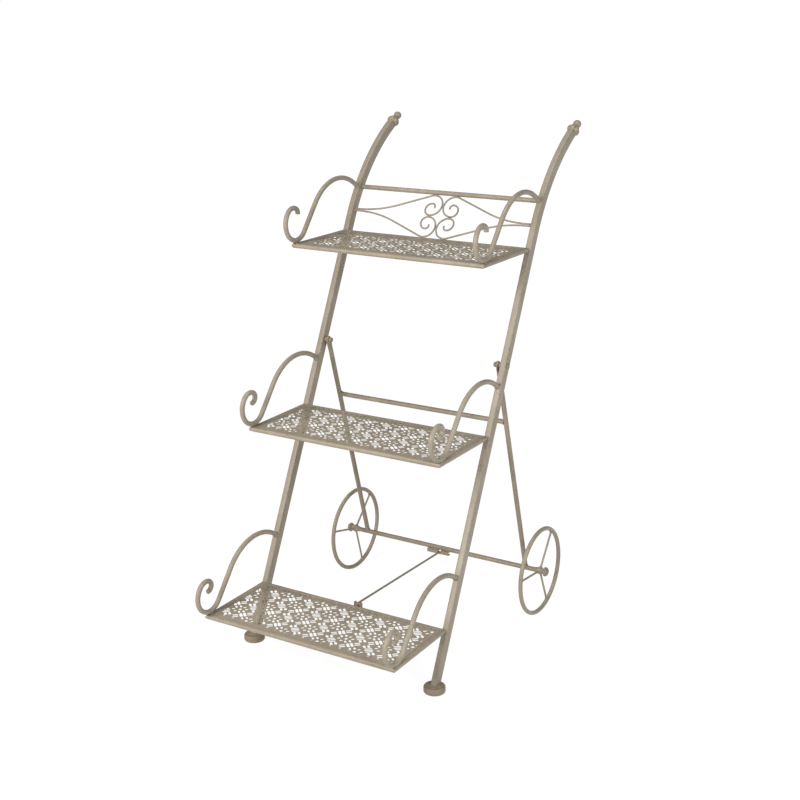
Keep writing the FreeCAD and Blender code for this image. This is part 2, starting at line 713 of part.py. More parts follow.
def build_stay_bracket():
    """Notched plate standing against the bottom shelf's back rod."""
    body = new_body("stay_bracket")
    wide = "bracket_width / 2"
    notch = "notch_width / 2"
    notch_floor = "stay_height - shelf_height - stay_diameter / 2 - 3 * pin_clearance"
    low = "-rod_diameter / 2"
    outline = new_sketch(body, "Outline", "XZ_Plane")
    draw_polygon(outline, [
        (f"-{wide}", low), (wide, low), (wide, "bracket_rise"), (notch, "bracket_rise"),
        (notch, notch_floor), (f"-{notch}", notch_floor),
        (f"-{notch}", "bracket_rise"), (f"-{wide}", "bracket_rise")])
    plate = add_pad(body, outline, "bracket_thickness", "Plate")
    plate.Reversed = True
    place(body, "stay_bracket_place", BRACKET_FRONT_Y, "shelf_height")
    return body


def build_leg():
    """Rod with a flattened, bored top and an end coped to the axle."""
    body = new_body("leg_right")
    rod = new_sketch(body, "RodOutline", "XY_Plane", f"-{LEG_LENGTH}")
    draw_circle(rod, "0", "0", "rod_diameter / 2")
    add_pad(body, rod, f"{LEG_LENGTH} - bolt_head / 2 - 2 * side_clearance", "Rod")
    eye = new_sketch(body, "EyeOutline")
    draw_circle(eye, "0", "0", "eye_diameter / 2")
    document.recompute()
    add_pad(body, eye, "eye_thickness", "Eye", True)
    document.recompute()
    cut_through(body, "Bore", lambda sketch: draw_circle(
        sketch, "0", "0", "bolt_diameter / 2 + running_clearance"))
    cut_through(body, "AxleCope", lambda sketch: draw_circle(
        sketch, "0", f"-{LEG_LENGTH}", "rod_diameter / 2"))
    place(body, "leg_spacing / 2", PIVOT_Y, "pivot_height", "leg_angle")
    return body


def build_axle():
    """Rod with turned down ends that carry the wheels."""
    body = new_body("axle")
    shoulder = f"({HUB_INSIDE} - side_clearance)"
    end = f"({HUB_OUTSIDE} + side_clearance + cap_depth)"
    rod = "rod_diameter / 2"
    journal = "journal_diameter / 2"
    add_revolution(body, [
        (f"-{end}", "0"), (end, "0"), (end, journal), (shoulder, journal), (shoulder, rod),
        (f"-{shoulder}", rod), (f"-{shoulder}", journal), (f"-{end}", journal)])
    place(body, "0", AXLE_Y, AXLE_Z)
    return body


def build_cap():
    """Domed cap pressed on the end of the axle."""
    body = new_body("axle_cap_right")
    seat = f"({HUB_OUTSIDE} + side_clearance)"
    radius = "cap_diameter / 2"
    journal = "journal_diameter / 2"
    add_revolution(body, [
        (seat, journal), (f"{seat} + cap_depth", journal), (f"{seat} + cap_depth", "0"),
        (f"{seat} + cap_height", "0"), (f"{seat} + cap_height", f"{radius} * 0.5"),
        (f"{seat} + cap_height * 0.4", radius), (seat, radius)])
    place(body, "0", AXLE_Y, AXLE_Z)
    return body


def build_wheel_ring(side, sign):
    body = new_body(f"wheel_{side}_ring")
    half = 180 / RING_STEPS
    middle = f"(wheel_radius - ring_diameter / 2 / cos({half}))"
    path = new_sketch(body, "Path")
    corners = [("0", f"{middle} * cos({half})")]
    for step in range(RING_STEPS):
        angle = 90 - half - step * 2 * half
        corners.append((f"{middle} * cos({angle})", f"{middle} * sin({angle})"))
    draw_polygon(path, corners)
    section = new_sketch(body, "Section", "XZ_Plane")
    draw_flats(section, "ring_diameter", ROD_FLATS, up=f"{middle} * cos({half})")
    document.recompute()
    add_pipe(body, path, section, "Right corner")
    place(body, f"{sign} * wheel_spacing / 2", AXLE_Y, AXLE_Z)
    return body


def build_wheel_hub(side, sign):
    """Bored hub with the spokes that reach the inside of the ring."""
    body = new_body(f"wheel_{side}_hub")
    half = "hub_length / 2"
    bore = "(journal_diameter / 2 + running_clearance)"
    hub = "hub_diameter / 2"
    add_revolution(body, [
        (f"-{half}", bore), (half, bore), (half, hub), (f"-{half}", hub)])
    document.recompute()
    start = "(hub_diameter / 2 - spoke_diameter / 4)"
    outline = new_sketch(body, "SpokeOutline", "XY_Plane", start)
    draw_flats(outline, "spoke_diameter", WIRE_FLATS)
    spoke = add_pad(body, outline, f"wheel_radius - ring_diameter - side_clearance - {start}",
                    "Spoke")
    document.recompute()
    spokes = body.newObject("PartDesign::PolarPattern", "Spokes")
    spokes.Originals = [spoke]
    spokes.Axis = (origin_feature(body, "X_Axis"), [""])
    spokes.Angle = 360
    spokes.setExpression("Occurrences", linked("spoke_count"))
    body.Tip = spokes
    place(body, f"{sign} * wheel_spacing / 2", AXLE_Y, AXLE_Z, f"{side}_spoke_angle - 90")
    return body


def build_channel():
    """Folded channel on the front of the axle; the stay's bent end turns inside it."""
    body = new_body("stay_channel")
    half = "(stay_diameter / 2 + pin_clearance)"
    low = f"(-channel_drop - {half} - channel_wall)"
    high = f"(-channel_drop + {half} + channel_wall)"
    front = "(-channel_front)"
    rear = f"(-sqrt(pow(rod_diameter / 2; 2) - pow({high}; 2)))"
    section = new_sketch(body, "Section")
    draw_polygon(section, [
        (front, low), (rear, low), (rear, f"{low} + channel_wall"),
        (f"{front} + channel_wall", f"{low} + channel_wall"),
        (f"{front} + channel_wall", f"{high} - channel_wall"),
        (rear, f"{high} - channel_wall"), (rear, high), (front, high)])
    add_pad(body, section, "channel_length", "Channel", True)
    document.recompute()

    def slot(sketch):
        draw_polygon(sketch, [
            (f"{front} - channel_wall", f"{low} + channel_wall"),
            (f"{rear} + channel_wall", f"{low} + channel_wall"),
            (f"{rear} + channel_wall", f"{high} + channel_wall"),
            (f"{front} - channel_wall", f"{high} + channel_wall")])

    cut_through(body, "StaySlot", slot, raised="stay_hinge_place - channel_place",
                length="stay_diameter + 6 * pin_clearance")
    place(body, "channel_place", AXLE_Y, AXLE_Z)
    return body


def build_stay():
    """Round wire bent at both ends: a pin inside the channel and a short hook at the shelf."""
    hinge_x = value("stay_hinge_place")
    hook_x = value("stay_bracket_place")
    hook_y = value(f"{BRACKET_FRONT_Y} - hook_gap - stay_diameter / 2")
    hook_z = value("stay_height")
    hinge_y = value(STAY_HINGE_Y)
    hinge_z = value(STAY_HINGE_Z)
    corners = [
        FreeCAD.Vector(hinge_x - value("pin_length"), hinge_y, hinge_z),
        FreeCAD.Vector(hinge_x, hinge_y, hinge_z),
        FreeCAD.Vector(hook_x, hook_y, hook_z),
        FreeCAD.Vector(hook_x, hook_y, hook_z - value("hook_drop")),
    ]
    outline = []
    for flat in range(ROD_FLATS):
        turn = 2 * math.pi * flat / ROD_FLATS
        reach = value("stay_diameter / 2")
        outline.append(corners[0] + FreeCAD.Vector(
            0, reach * math.cos(turn), reach * math.sin(turn)))
    outline = Part.makePolygon(outline + outline[:1])
    path = Part.makePolygon(corners)
    right_corners = 1
    stay = document.addObject("Part::Feature", "stay_rod")
    stay.Label = "stay_rod"
    stay.Shape = path.makePipeShell([outline], True, False, right_corners)
    place(stay)
    return stay


upright = build_upright()
nodes += [upright, mirrored(upright, "upright_left")]
foot = build_foot()
nodes.append(paired([foot, mirrored(foot, "foot_left")], "feet"))
finial = build_finial()
nodes.append(paired([finial, mirrored(finial, "finial_left")], "finials"))
for shelf in SHELF_LEVELS:
    nodes.append(build_rim(shelf))
    nodes.append(build_panel(shelf))
    arm = build_arm(shelf)
    nodes += [arm, mirrored(arm, f"arm_{shelf}_left")]
nodes.append(build_cross_rod("top_bar", f"2 * {UPRIGHT_INSIDE}", BAR_Y, "bar_height"))
nodes.append(build_back_wires())
hinge_bolt = build_hinge_bolt()
nodes.append(paired([hinge_bolt, mirrored(hinge_bolt, "hinge_bolt_left")], "hinge_bolts"))
nodes.append(build_stay_bracket())
leg = build_leg()
nodes += [leg, mirrored(leg, "leg_left")]
crossbar_y = f"{PIVOT_Y} + crossbar_distance * sin(leg_angle)"
crossbar_z = "pivot_height - crossbar_distance * cos(leg_angle)"
nodes.append(build_cross_rod("crossbar", "leg_spacing - rod_diameter", crossbar_y, crossbar_z))
nodes.append(build_axle())
cap = build_cap()
nodes.append(paired([cap, mirrored(cap, "axle_cap_left")], "axle_caps"))
nodes.append(build_channel())
for side, sign in (("left", -1), ("right", 1)):
    nodes.append(build_wheel_ring(side, sign))
    nodes.append(build_wheel_hub(side, sign))
nodes.append(build_stay())
document.recompute()

for item in document.Objects:
    if "Invalid" in item.State or "Error" in item.State:
        raise RuntimeError(f"{item.Label} failed: {item.State}")
for node in nodes:
    if node.Shape.isNull() or not node.Shape.isValid():
        raise RuntimeError(f"{node.Label} has no valid shape")

os.makedirs("parts", exist_ok=True)
for node in nodes:
    node.Shape.exportStep(f"parts/{node.Label}.step")
    box = node.Shape.BoundBox
    print(f"{node.Label:20} {len(node.Shape.Solids)} solids {node.Shape.Volume:10.0f} mm3"
          f"  {box.XMin:.1f}..{box.XMax:.1f}  {box.YMin:.1f}..{box.YMax:.1f}"
          f"  {box.ZMin:.1f}..{box.ZMax:.1f}")
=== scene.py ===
# %% [markdown]
# A leaning flower cart stand, made of bent round rod, flat tube and punched sheet, all painted
# in one warm satin grey. The CAD model is loaded first and never moved: it says where every
# piece sits. The CAD draws its bent rods with flats, so here each rod is made again with a
# round section, and the joints get the weld beads, crowns and bolts a maker would see.

# %% Load the CAD frame
import math
import random

import bpy
import bmesh
from mathutils import Matrix, Vector


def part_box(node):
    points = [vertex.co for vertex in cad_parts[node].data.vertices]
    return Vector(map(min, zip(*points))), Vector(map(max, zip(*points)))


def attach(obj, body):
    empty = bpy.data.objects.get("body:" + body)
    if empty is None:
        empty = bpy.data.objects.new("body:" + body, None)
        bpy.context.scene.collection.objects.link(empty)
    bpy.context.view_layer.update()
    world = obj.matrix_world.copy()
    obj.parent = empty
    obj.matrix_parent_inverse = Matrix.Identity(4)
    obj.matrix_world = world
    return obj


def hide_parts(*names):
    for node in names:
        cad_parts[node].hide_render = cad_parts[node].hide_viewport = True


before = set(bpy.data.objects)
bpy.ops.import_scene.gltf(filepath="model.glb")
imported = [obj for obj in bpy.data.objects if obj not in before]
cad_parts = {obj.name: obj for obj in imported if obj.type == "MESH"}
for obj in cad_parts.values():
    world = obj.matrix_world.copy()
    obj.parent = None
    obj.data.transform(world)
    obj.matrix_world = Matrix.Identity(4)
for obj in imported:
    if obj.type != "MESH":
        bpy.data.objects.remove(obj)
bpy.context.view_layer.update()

# %% [markdown]
# The sizes are those of the stand itself, in millimetres. They are written once here, and
# every piece below is worked out from them. Two helpers say where the leaning line of the
# uprights is at a height, so that shelves, arms and hinge all hang on the same line. The
# axle's box in the CAD then says where that line meets the ground in the shared frame.

# %% Sizes of the stand
LEAN = math.radians(25.6)
UPRIGHT_X, UPRIGHT_WIDE, UPRIGHT_DEEP = 216.5, 13.0, 20.0
BEND_HEIGHT, BEND_RADIUS, BEND_END = 826.0, 420.0, math.radians(60)
INNER_FACE = UPRIGHT_X - UPRIGHT_WIDE / 2
ROD = 10.0
SHELF_WIDE, SHELF_DEEP = 430.0, 178.0
SHELVES = {"bottom": 112.0, "middle": 455.0, "top": 798.0}
BAR_HEIGHT = 886.0
PIVOT_HEIGHT, LEG_ANGLE, LEG_X = 583.0, math.radians(15.93), 202.0
WHEEL_RADIUS, WHEEL_RING, WHEEL_X = 96.5, 9.0, 236.0
STAY_ROD = 4.4
MM = 0.001


def lean_y(height):
    return math.tan(LEAN) * height


def back_rod_y(height):
    return lean_y(height) - (UPRIGHT_DEEP + ROD) / 2 / math.cos(LEAN)


def front_rod_y(height):
    return back_rod_y(height) - SHELF_DEEP


LEG_LENGTH = (PIVOT_HEIGHT - WHEEL_RADIUS) / math.cos(LEG_ANGLE)
PIVOT_Y = lean_y(PIVOT_HEIGHT)
AXLE_Y = PIVOT_Y + LEG_LENGTH * math.sin(LEG_ANGLE)
BEND_Y = lean_y(BEND_HEIGHT) + BEND_RADIUS * math.cos(LEAN)
BEND_Z = BEND_HEIGHT - BEND_RADIUS * math.sin(LEAN)
BAR_Y = BEND_Y - math.sqrt(BEND_RADIUS ** 2 - (BAR_HEIGHT - BEND_Z) ** 2)
axle_low, axle_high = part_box("axle")
GROUND_Y = (axle_low.y + axle_high.y) / 2 / MM - AXLE_Y
ACROSS = Vector((1, 0, 0))
SIDES = (("right", 1), ("left", -1))
print("the leaning line meets the ground at y =", round(GROUND_Y, 2), "mm")

# %% [markdown]
# Paint is a shader graph. Written node by node it is hard to read, so two small classes let
# it be written as sums: a Value is a socket that can be added and multiplied, and a Graph
# makes any other node from its type, its settings and its sockets. A Graph serves a material
# as well as the world.

# %% Shader maths
class Value:
    """A socket of a shader graph that takes part in Python sums."""

    def __init__(self, graph, socket):
        self.graph, self.socket = graph, socket

    def sum(self, operation, first, second, clamp=False):
        settings = {"operation": operation, "use_clamp": clamp}
        return self.graph.add("ShaderNodeMath", settings, {0: first, 1: second})

    def __add__(self, other):
        return self.sum("ADD", self, other)

    def __sub__(self, other):
        return self.sum("SUBTRACT", self, other)

    def __rsub__(self, other):
        return self.sum("SUBTRACT", other, self)

    def __mul__(self, other):
        return self.sum("MULTIPLY", self, other)

    def clamped(self):
        return self.sum("ADD", self, 0.0, clamp=True)

    __radd__ = __add__
    __rmul__ = __mul__


class Graph:
    """The node tree of a material or of the world."""

    def __init__(self, owner, end="ShaderNodeOutputMaterial"):
        owner.use_nodes = True
        self.owner, self.end, self.tree = owner, end, owner.node_tree
        self.tree.nodes.clear()

    def add(self, kind, settings=None, sockets=None, output=0):
        node = self.tree.nodes.new(kind)
        for key, setting in (settings or {}).items():
            setattr(node, key, setting)
        for key, given in (sockets or {}).items():
            if isinstance(given, Value):
                self.tree.links.new(given.socket, node.inputs[key])
            else:
                node.inputs[key].default_value = given
        return Value(self, node.outputs[output])

    def noise(self, where, scale, detail):
        return self.add("ShaderNodeTexNoise", {}, {
            "Vector": where, "Scale": scale, "Detail": detail}, "Fac")

    def ramp(self, value, low, high):
        return self.add("ShaderNodeMapRange", {"clamp": True}, {
            "Value": value, "From Min": low, "From Max": high})

    def mix(self, factor, first, second):
        return self.add("ShaderNodeMix", {"data_type": "RGBA"}, {
            "Factor": factor, 6: first, 7: second}, 2)

    def finish(self, surface):
        node = self.tree.nodes.new(self.end)
        self.tree.links.new(surface.socket, node.inputs["Surface"])
        return self.owner


print("shader helpers ready")

# %% [markdown]
# The paint is a satin powder coat with a rubbed, slightly aged look. Close up it has three
# things: an even pebbled skin, faint drifts of lighter and browner tone along the rods, and
# places where the coat is a little thinner. All of it is noise in the stand's own space, so
# it stays on the metal from every side.

# %% Powder coat
def srgb(red, green, blue):
    """A colour as an artist reads it off a screen, made linear for the shader."""
    def linear(part):
        part /= 255
        return part / 12.92 if part <= 0.04045 else ((part + 0.055) / 1.055) ** 2.4
    return (linear(red), linear(green), linear(blue), 1.0)


PALE, DEEP, RUBBED = srgb(164, 153, 136), srgb(141, 129, 112), srgb(104, 86, 66)
PEEL_DEPTH = 0.0002


def powder_coat(name, pale=PALE, deep=DEEP, roughness=0.46, skin=1.0, drift=1.0):
    """Satin paint between a pale and a deep tone, with rubbed specks and a pebbled skin."""
    graph = Graph(bpy.data.materials.new(name))
    here = graph.add("ShaderNodeTexCoord", {}, {}, "Object")
    drawn_out = graph.add("ShaderNodeMapping", {}, {
        "Vector": here, "Scale": (1.0, 1.0, 0.22)})
    clouds = graph.ramp(graph.noise(here, 11.0, 2.0), 0.3, 0.7)
    streaks = graph.ramp(graph.noise(drawn_out, 95.0, 3.0), 0.35, 0.7)
    grain = graph.noise(here, 1400.0, 2.0)
    tone = (clouds * 0.6 + streaks * 0.4 * drift + (grain - 0.5) * 0.06).clamped()
    colour = graph.mix(tone, pale, deep)
    specks = graph.ramp(graph.noise(here, 420.0, 3.0), 0.66, 0.74)
    patches = graph.ramp(graph.noise(here, 24.0, 3.0), 0.52, 0.62)
    colour = graph.mix(specks * patches * 0.14, colour, RUBBED)
    rough = roughness + (clouds - 0.5) * 0.08 + (grain - 0.5) * 0.10
    peel = graph.noise(here, 620.0, 2.0) * 0.75 + grain * 0.25
    normal = graph.add("ShaderNodeBump", {}, {
        "Height": peel, "Strength": 0.07 * skin, "Distance": PEEL_DEPTH})
    return graph.finish(graph.add("ShaderNodeBsdfPrincipled", {}, {
        "Base Color": colour, "Roughness": rough, "Metallic": 0.0,
        "Specular IOR Level": 0.5, "Normal": normal}))


PAINTS = {
    "frame": powder_coat("frame powder coat"),
    "shelf": powder_coat("shelf powder coat", roughness=0.5, drift=0.6),
    "wheel": powder_coat("wheel powder coat"),
    "foot": powder_coat("foot powder coat", srgb(156, 143, 124), srgb(136, 122, 103),
                        roughness=0.5, skin=1.4),
    "weld": powder_coat("painted weld", srgb(154, 141, 123), srgb(132, 118, 100),
                        roughness=0.4, skin=1.8),
    "hardware": powder_coat("hardware powder coat", srgb(154, 141, 123), srgb(130, 117, 99),
                            roughness=0.42),
}
print("paints:", ", ".join(PAINTS))

# %% [markdown]
# Nearly every piece here is a section carried along a line: rod along an arm, tube along an
# upright, a weld along a seam. A Form gathers such skins, in millimetres, and then becomes
# one object. Blender's curves could bevel a round rod as well, but skinning the rings by
# hand also gives mitred corners, cut ends and flattened eyes.

# %% The Form that gathers skins
WELD_STEP = 1.1
scene = bpy.context.scene


class Form:
    """Rings of points skinned into one mesh."""

    def __init__(self):
        self.verts, self.faces = [], []

    def skin(self, rings, closed=False):
        base, count, around = len(self.verts), len(rings), len(rings[0])
        for ring in rings:
            self.verts.extend(ring)
        for index in range(count if closed else count - 1):
            here = base + index * around
            there = base + (index + 1) % count * around
            for k in range(around):
                nxt = (k + 1) % around
                self.faces.append((here + k, here + nxt, there + nxt, there + k))
        if not closed:
            last = base + (count - 1) * around
            self.faces.append(tuple(base + k for k in reversed(range(around))))
            self.faces.append(tuple(last + k for k in range(around)))

    def carry(self, path, section, side=None, closed=False, size=None, round_ends=0.0,
              cut=None):
        """Carry a section along a path.

        side is the section's first axis in a flat path, size scales the section along the
        way, and cut is the normal of a face that the first end is trimmed to.
        """
        path = [Vector(point) for point in path]
        count = len(path)
        steps = []
        for index in range(count):
            before = path[index - 1] if index or closed else None
            after = path[(index + 1) % count] if index < count - 1 or closed else None
            arriving = (path[index] - before).normalized() if before is not None else None
            leaving = (after - path[index]).normalized() if after is not None else None
            along = ((arriving or leaving) + (leaving or arriving)).normalized()
            stretch = 1.0
            if arriving is not None and leaving is not None:
                stretch = 1 / max(0.5, arriving.dot(along))
            steps.append((along, stretch))
        moving = side is None
        side = steps[0][0].orthogonal().normalized() if moving else Vector(side)
        rings = []
        for index, (point, (along, stretch)) in enumerate(zip(path, steps)):
            if moving:
                side = (side - along * side.dot(along)).normalized()
            up = along.cross(side).normalized()
            wide, high = size(index / max(1, count - 1)) if size else (1.0, 1.0)
            ring = [point + side * a * wide + up * b * high * (1 if moving else stretch)
                    for a, b in section]
            rings.append((ring, along, point))
        skins = [ring for ring, _, _ in rings]
        if cut is not None:
            along = rings[0][1]
            skins[0] = [spot + along * ((path[0] - spot).dot(cut) / along.dot(cut))
                        for spot in skins[0]]
        if round_ends and not closed:
            reach = max(abs(a) for a, _ in section) * round_ends
            for index, sign in ((0, -1), (-1, 1)) if cut is None else ((-1, 1),):
                ring, along, point = rings[index]
                for angle in (25, 50, 72):
                    grow = math.radians(angle)
                    shrink = 1 - round_ends * (1 - math.cos(grow))
                    cap = [point + (spot - point) * shrink + along * sign * reach
                           * math.sin(grow) for spot in ring]
                    skins.insert(0, cap) if index == 0 else skins.append(cap)
        self.skin(skins, closed)

    def turn(self, profile, centre, axis, around=48, shape=None):
        """Turn a profile of (distance along, radius) about an axis."""
        axis = Vector(axis).normalized()
        side = axis.orthogonal().normalized() if abs(axis.x) < 0.9 else Vector((0, 0, 1))
        up = axis.cross(side)
        rings = []
        for along, radius in profile:
            ring = []
            for k in range(around):
                angle = 2 * math.pi * k / around
                reach = shape(angle, along, radius) if shape else radius
                ring.append(Vector(centre) + axis * along
                            + (side * math.cos(angle) + up * math.sin(angle)) * reach)
            rings.append(ring)
        self.skin(rings)

    def bead(self, path, radius, closed=False, seed=1):
        """A lumpy weld along a path, thin at its open ends."""
        chance = random.Random(seed)
        path = [Vector(point) for point in path]
        if closed:
            path.append(path[0].copy())
        line = []
        for start, end in zip(path, path[1:]):
            pieces = max(1, round((end - start).length / WELD_STEP))
            line += [start.lerp(end, k / pieces) for k in range(pieces)]
        if not closed:
            line.append(path[-1])
        wide = [1 + 0.16 * math.sin(k * 1.7) + chance.uniform(-0.14, 0.14)
                for k in range(len(line))]
        if not closed:
            for k, share in enumerate((0.5, 0.85)[:len(wide) // 2]):
                wide[k] *= share
                wide[-1 - k] *= share

        def size(share):
            grow = wide[min(len(wide) - 1, round(share * (len(wide) - 1)))]
            return grow, grow

        self.carry(line, circle(radius, 9), closed=closed, size=size, round_ends=0.9)

    def make(self, name, body, paint, node=None, sharp=38):
        """Make the piece. It rides a body, and takes the place of a node of the CAD."""
        mesh = bpy.data.meshes.new(name)
        mesh.from_pydata([tuple((v + Vector((0, GROUND_Y, 0))) * MM) for v in self.verts],
                         [], self.faces)
        show(name, mesh, body, paint, node, sharp)


def show(name, mesh, body, paint, node, sharp):
    """Clean a mesh, paint it and hand it to the frame."""
    tidy = bmesh.new()
    tidy.from_mesh(mesh)
    bmesh.ops.remove_doubles(tidy, verts=tidy.verts, dist=1e-6)
    bmesh.ops.recalc_face_normals(tidy, faces=tidy.faces)
    tidy.to_mesh(mesh)
    tidy.free()
    mesh.shade_smooth()
    mesh.set_sharp_from_angle(angle=math.radians(sharp))
    piece = bpy.data.objects.new(name, mesh)
    scene.collection.objects.link(piece)
    mesh.materials.clear()
    mesh.materials.append(PAINTS[paint])
    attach(piece, body)
    if node:
        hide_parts(node)
    print(f"{name}: {len(mesh.polygons)} faces")


def circle(radius, sides=20):
    angles = [2 * math.pi * k / sides for k in range(sides)]
    return [(radius * math.cos(angle), radius * math.sin(angle)) for angle in angles]


def tube_section(wide, deep, corner, steps=5):
    """A rectangle with round corners."""
    outline = []
    for turn, (sx, sy) in enumerate([(1, 1), (-1, 1), (-1, -1), (1, -1)]):
        for k in range(steps + 1):
            angle = math.pi / 2 * (turn + k / steps)
            outline.append((sx * (wide / 2 - corner) + corner * math.cos(angle),
                            sy * (deep / 2 - corner) + corner * math.sin(angle)))
    return outline


def bow(centre, radius, start, end, step=4.0):
    """Points on an arc between two directions in degrees, in the order given."""
    count = max(2, round(abs(end - start) / step))
    return [(centre[0] + radius * math.cos(math.radians(start + (end - start) * k / count)),
             centre[1] + radius * math.sin(math.radians(start + (end - start) * k / count)))
            for k in range(count + 1)]


def crossing_normal(first, first_radius, second, second_radius, side):
    """Direction of the normal of the line that crosses between two circles, in degrees."""
    dx, dy = second[0] - first[0], second[1] - first[1]
    opening = math.degrees(math.acos((first_radius + second_radius) / math.hypot(dx, dy)))
    return math.degrees(math.atan2(dy, dx)) + side * opening


def polar(centre, radius, angle):
    return (centre[0] + radius * math.cos(math.radians(angle)),
            centre[1] + radius * math.sin(math.radians(angle)))


ROUND_ROD = circle(ROD / 2)
print("a rod's ring has", len(ROUND_ROD), "points")

# %% [markdown]
# The uprights are flat tube, straight from the foot to just above the top shelf and then
# bent back into a handle. The section has small round corners, and one ring every few
# degrees keeps the bend smooth.

# %% Uprights
TUBE_START, TUBE_CORNER = 12, 2.5


def upright_line(x):
    points = [(lean_y(height), height) for height in (TUBE_START, 200, 400, 600, BEND_HEIGHT)]
    turn = math.degrees(BEND_END - LEAN)
    start = 180 - math.degrees(LEAN)
    points += bow((BEND_Y, BEND_Z), BEND_RADIUS, start, start - turn, 1.7)[1:]
    return [Vector((x, y, z)) for y, z in points]


for side, sign in SIDES:
    form = Form()
    form.carry(upright_line(sign * UPRIGHT_X),
               tube_section(UPRIGHT_WIDE, UPRIGHT_DEEP, TUBE_CORNER), side=ACROSS)
    form.make(f"upright_tube_{side}", "frame", "frame", f"upright_{side}")

# %% [markdown]
# Each tube stands in a round foot with a rolled shoulder, and ends in a cast finial: a
# crown with six lobes that carries a ball. Both are turned shapes. The crown's radius also
# swings in and out round the axis, which gives the lobes without any cutting.

# %% Feet and finials
FOOT_HEIGHT, FOOT_FORWARD = 18, 6
BALL_RADIUS, BALL_PLACE = 8.5, 28.4
foot_profile = [(0, 0), (0, 19.0), (0.5, 20.2), (1.4, 20.6), (1.8, 20.9), (2.2, 21.4),
                (3.4, 21.5), (9.5, 21.5), (11.5, 21.2), (12.8, 20.5), (13.6, 19.5),
                (14.0, 18.4), (13.9, 17.4), (13.7, 16.4), (14.2, 13.5), (15.2, 10.5),
                (16.4, 7.0), (17.0, 0)]
foot_y = lean_y(FOOT_HEIGHT) - FOOT_FORWARD
crown_profile = [(-1, 0), (-1, 8.4), (0, 9.9), (1.6, 10.9), (3, 12.4), (5.2, 13.4), (7.6, 13.5),
                 (10, 12.9), (12.6, 11.6), (15, 9.6), (17, 7.7), (18.6, 6.2), (20, 5.2),
                 (21.2, 4.6)]
ball_profile = [(BALL_PLACE - BALL_RADIUS * math.cos(math.radians(angle)),
                 BALL_RADIUS * math.sin(math.radians(angle))) for angle in range(30, 181, 10)]


def lobed(angle, along, radius):
    """Deep grooves between six rounded lobes, fading out towards both ends."""
    depth = 0.17 * math.exp(-((along - 7.5) / 6.5) ** 2)
    return radius * (1 - depth * (1 - abs(math.sin(3 * angle))) ** 1.6 * 1.6)


tube_end = (BEND_Y - BEND_RADIUS * math.cos(BEND_END), BEND_Z + BEND_RADIUS * math.sin(BEND_END))
handle_way = (0, math.sin(BEND_END), math.cos(BEND_END))
for side, sign in SIDES:
    form = Form()
    form.turn(foot_profile, (sign * UPRIGHT_X, foot_y, 0), (0, 0, 1), 56)
    form.make(f"foot_{side}", "frame", "foot", "feet")
    form = Form()
    centre = (sign * UPRIGHT_X, *tube_end)
    form.turn(crown_profile, centre, handle_way, 72, lobed)
    form.turn(ball_profile, centre, handle_way, 40)
    form.make(f"finial_{side}", "frame", "frame", "finials", sharp=50)

# %% [markdown]
# A shelf is a frame of round rod with mitred, welded corners. The rod is carried once round
# the four corners; where it turns, the ring is stretched so that the mitre keeps the rod's
# full width.

# %% Shelf rims
def shelf_corners(level):
    wide = SHELF_WIDE / 2
    return [(-wide, front_rod_y(level), level), (wide, front_rod_y(level), level),
            (wide, back_rod_y(level), level), (-wide, back_rod_y(level), level)]


for name, level in SHELVES.items():
    form = Form()
    form.carry(shelf_corners(level), ROUND_ROD, side=(0, 0, 1), closed=True)
    form.make(f"shelf_rods_{name}", "frame", "frame", f"shelf_rim_{name}",
              sharp=50)

# %% [markdown]
# The sheet inside the rim is punched with a woven motif: blocks of three short slots with
# pairs of slots turned the other way at each end, and between them long double slots,
# squarish windows and small dots. The motif repeats on a diagonal net, so it is written once
# as a list and laid out. Distances are in millimetres from the rim's back left corner, first
# across and then forward, and holes that cross the field's edge are cut off there.

# %% The punched motif
UP, DOWN = -38.0, 46.0
MOTIF = [  # place across, place forward, length, width, direction
    (0, 0, 17.2, 4.8, UP), (-4.1, -4.6, 15.0, 4.6, UP), (4.1, 4.6, 15.0, 4.6, UP),
    (15.1, 7.9, 11.0, 5.2, DOWN), (-15.1, -7.9, 11.0, 5.2, DOWN),
    (8.3, 12.8, 11.0, 5.2, DOWN), (-8.3, -12.8, 11.0, 5.2, DOWN),
    (28.7, 7.3, 12.0, 4.8, UP), (33.1, 12.4, 12.0, 4.8, UP),
    (7.8, 23, 12.0, 4.8, UP), (12.2, 28.1, 12.0, 4.8, UP),
    (8.2, -13.3, 6.8, 4.6, UP), (16.9, -7.3, 6.8, 4.6, UP),
    (-8.2, 13.3, 6.8, 4.6, UP), (-16.9, 7.3, 6.8, 4.6, UP),
    (39.3, 2.6, 16.4, 5.6, DOWN), (44.6, -2.6, 16.4, 5.6, DOWN),
    (27, -7.1, 9.0, 4.2, DOWN), (33.6, -13, 9.0, 4.2, DOWN),
    (-27, 7.1, 9.0, 4.2, DOWN), (-33.6, 13, 9.0, 4.2, DOWN),
    (21.9, -17.5, 6.8, 6.4, DOWN),
]
FIELD = ((10.0, 420.5), (5.2, 164.5))
NET_START = (184.8, 0.9)
NET_ACROSS, NET_SHIFT, NET_FORWARD = 84.3, 42.15, 35.6
SLIVER, END_BULGE = 1.8, 0.7


def slot_outline(x, y, length, wide, angle):
    """A slot with bulging ends."""
    run, rise = math.cos(math.radians(angle)), math.sin(math.radians(angle))
    end, corner = length / 2, wide / 2
    outline = []
    for sign in (1, -1):
        for k in range(5):
            turn = math.radians(-90 + 45 * k)
            along = sign * (end - corner * END_BULGE + corner * END_BULGE * math.cos(turn))
            off = sign * corner * math.sin(turn)
            outline.append((x + along * run - off * rise, y + along * rise + off * run))
    return outline


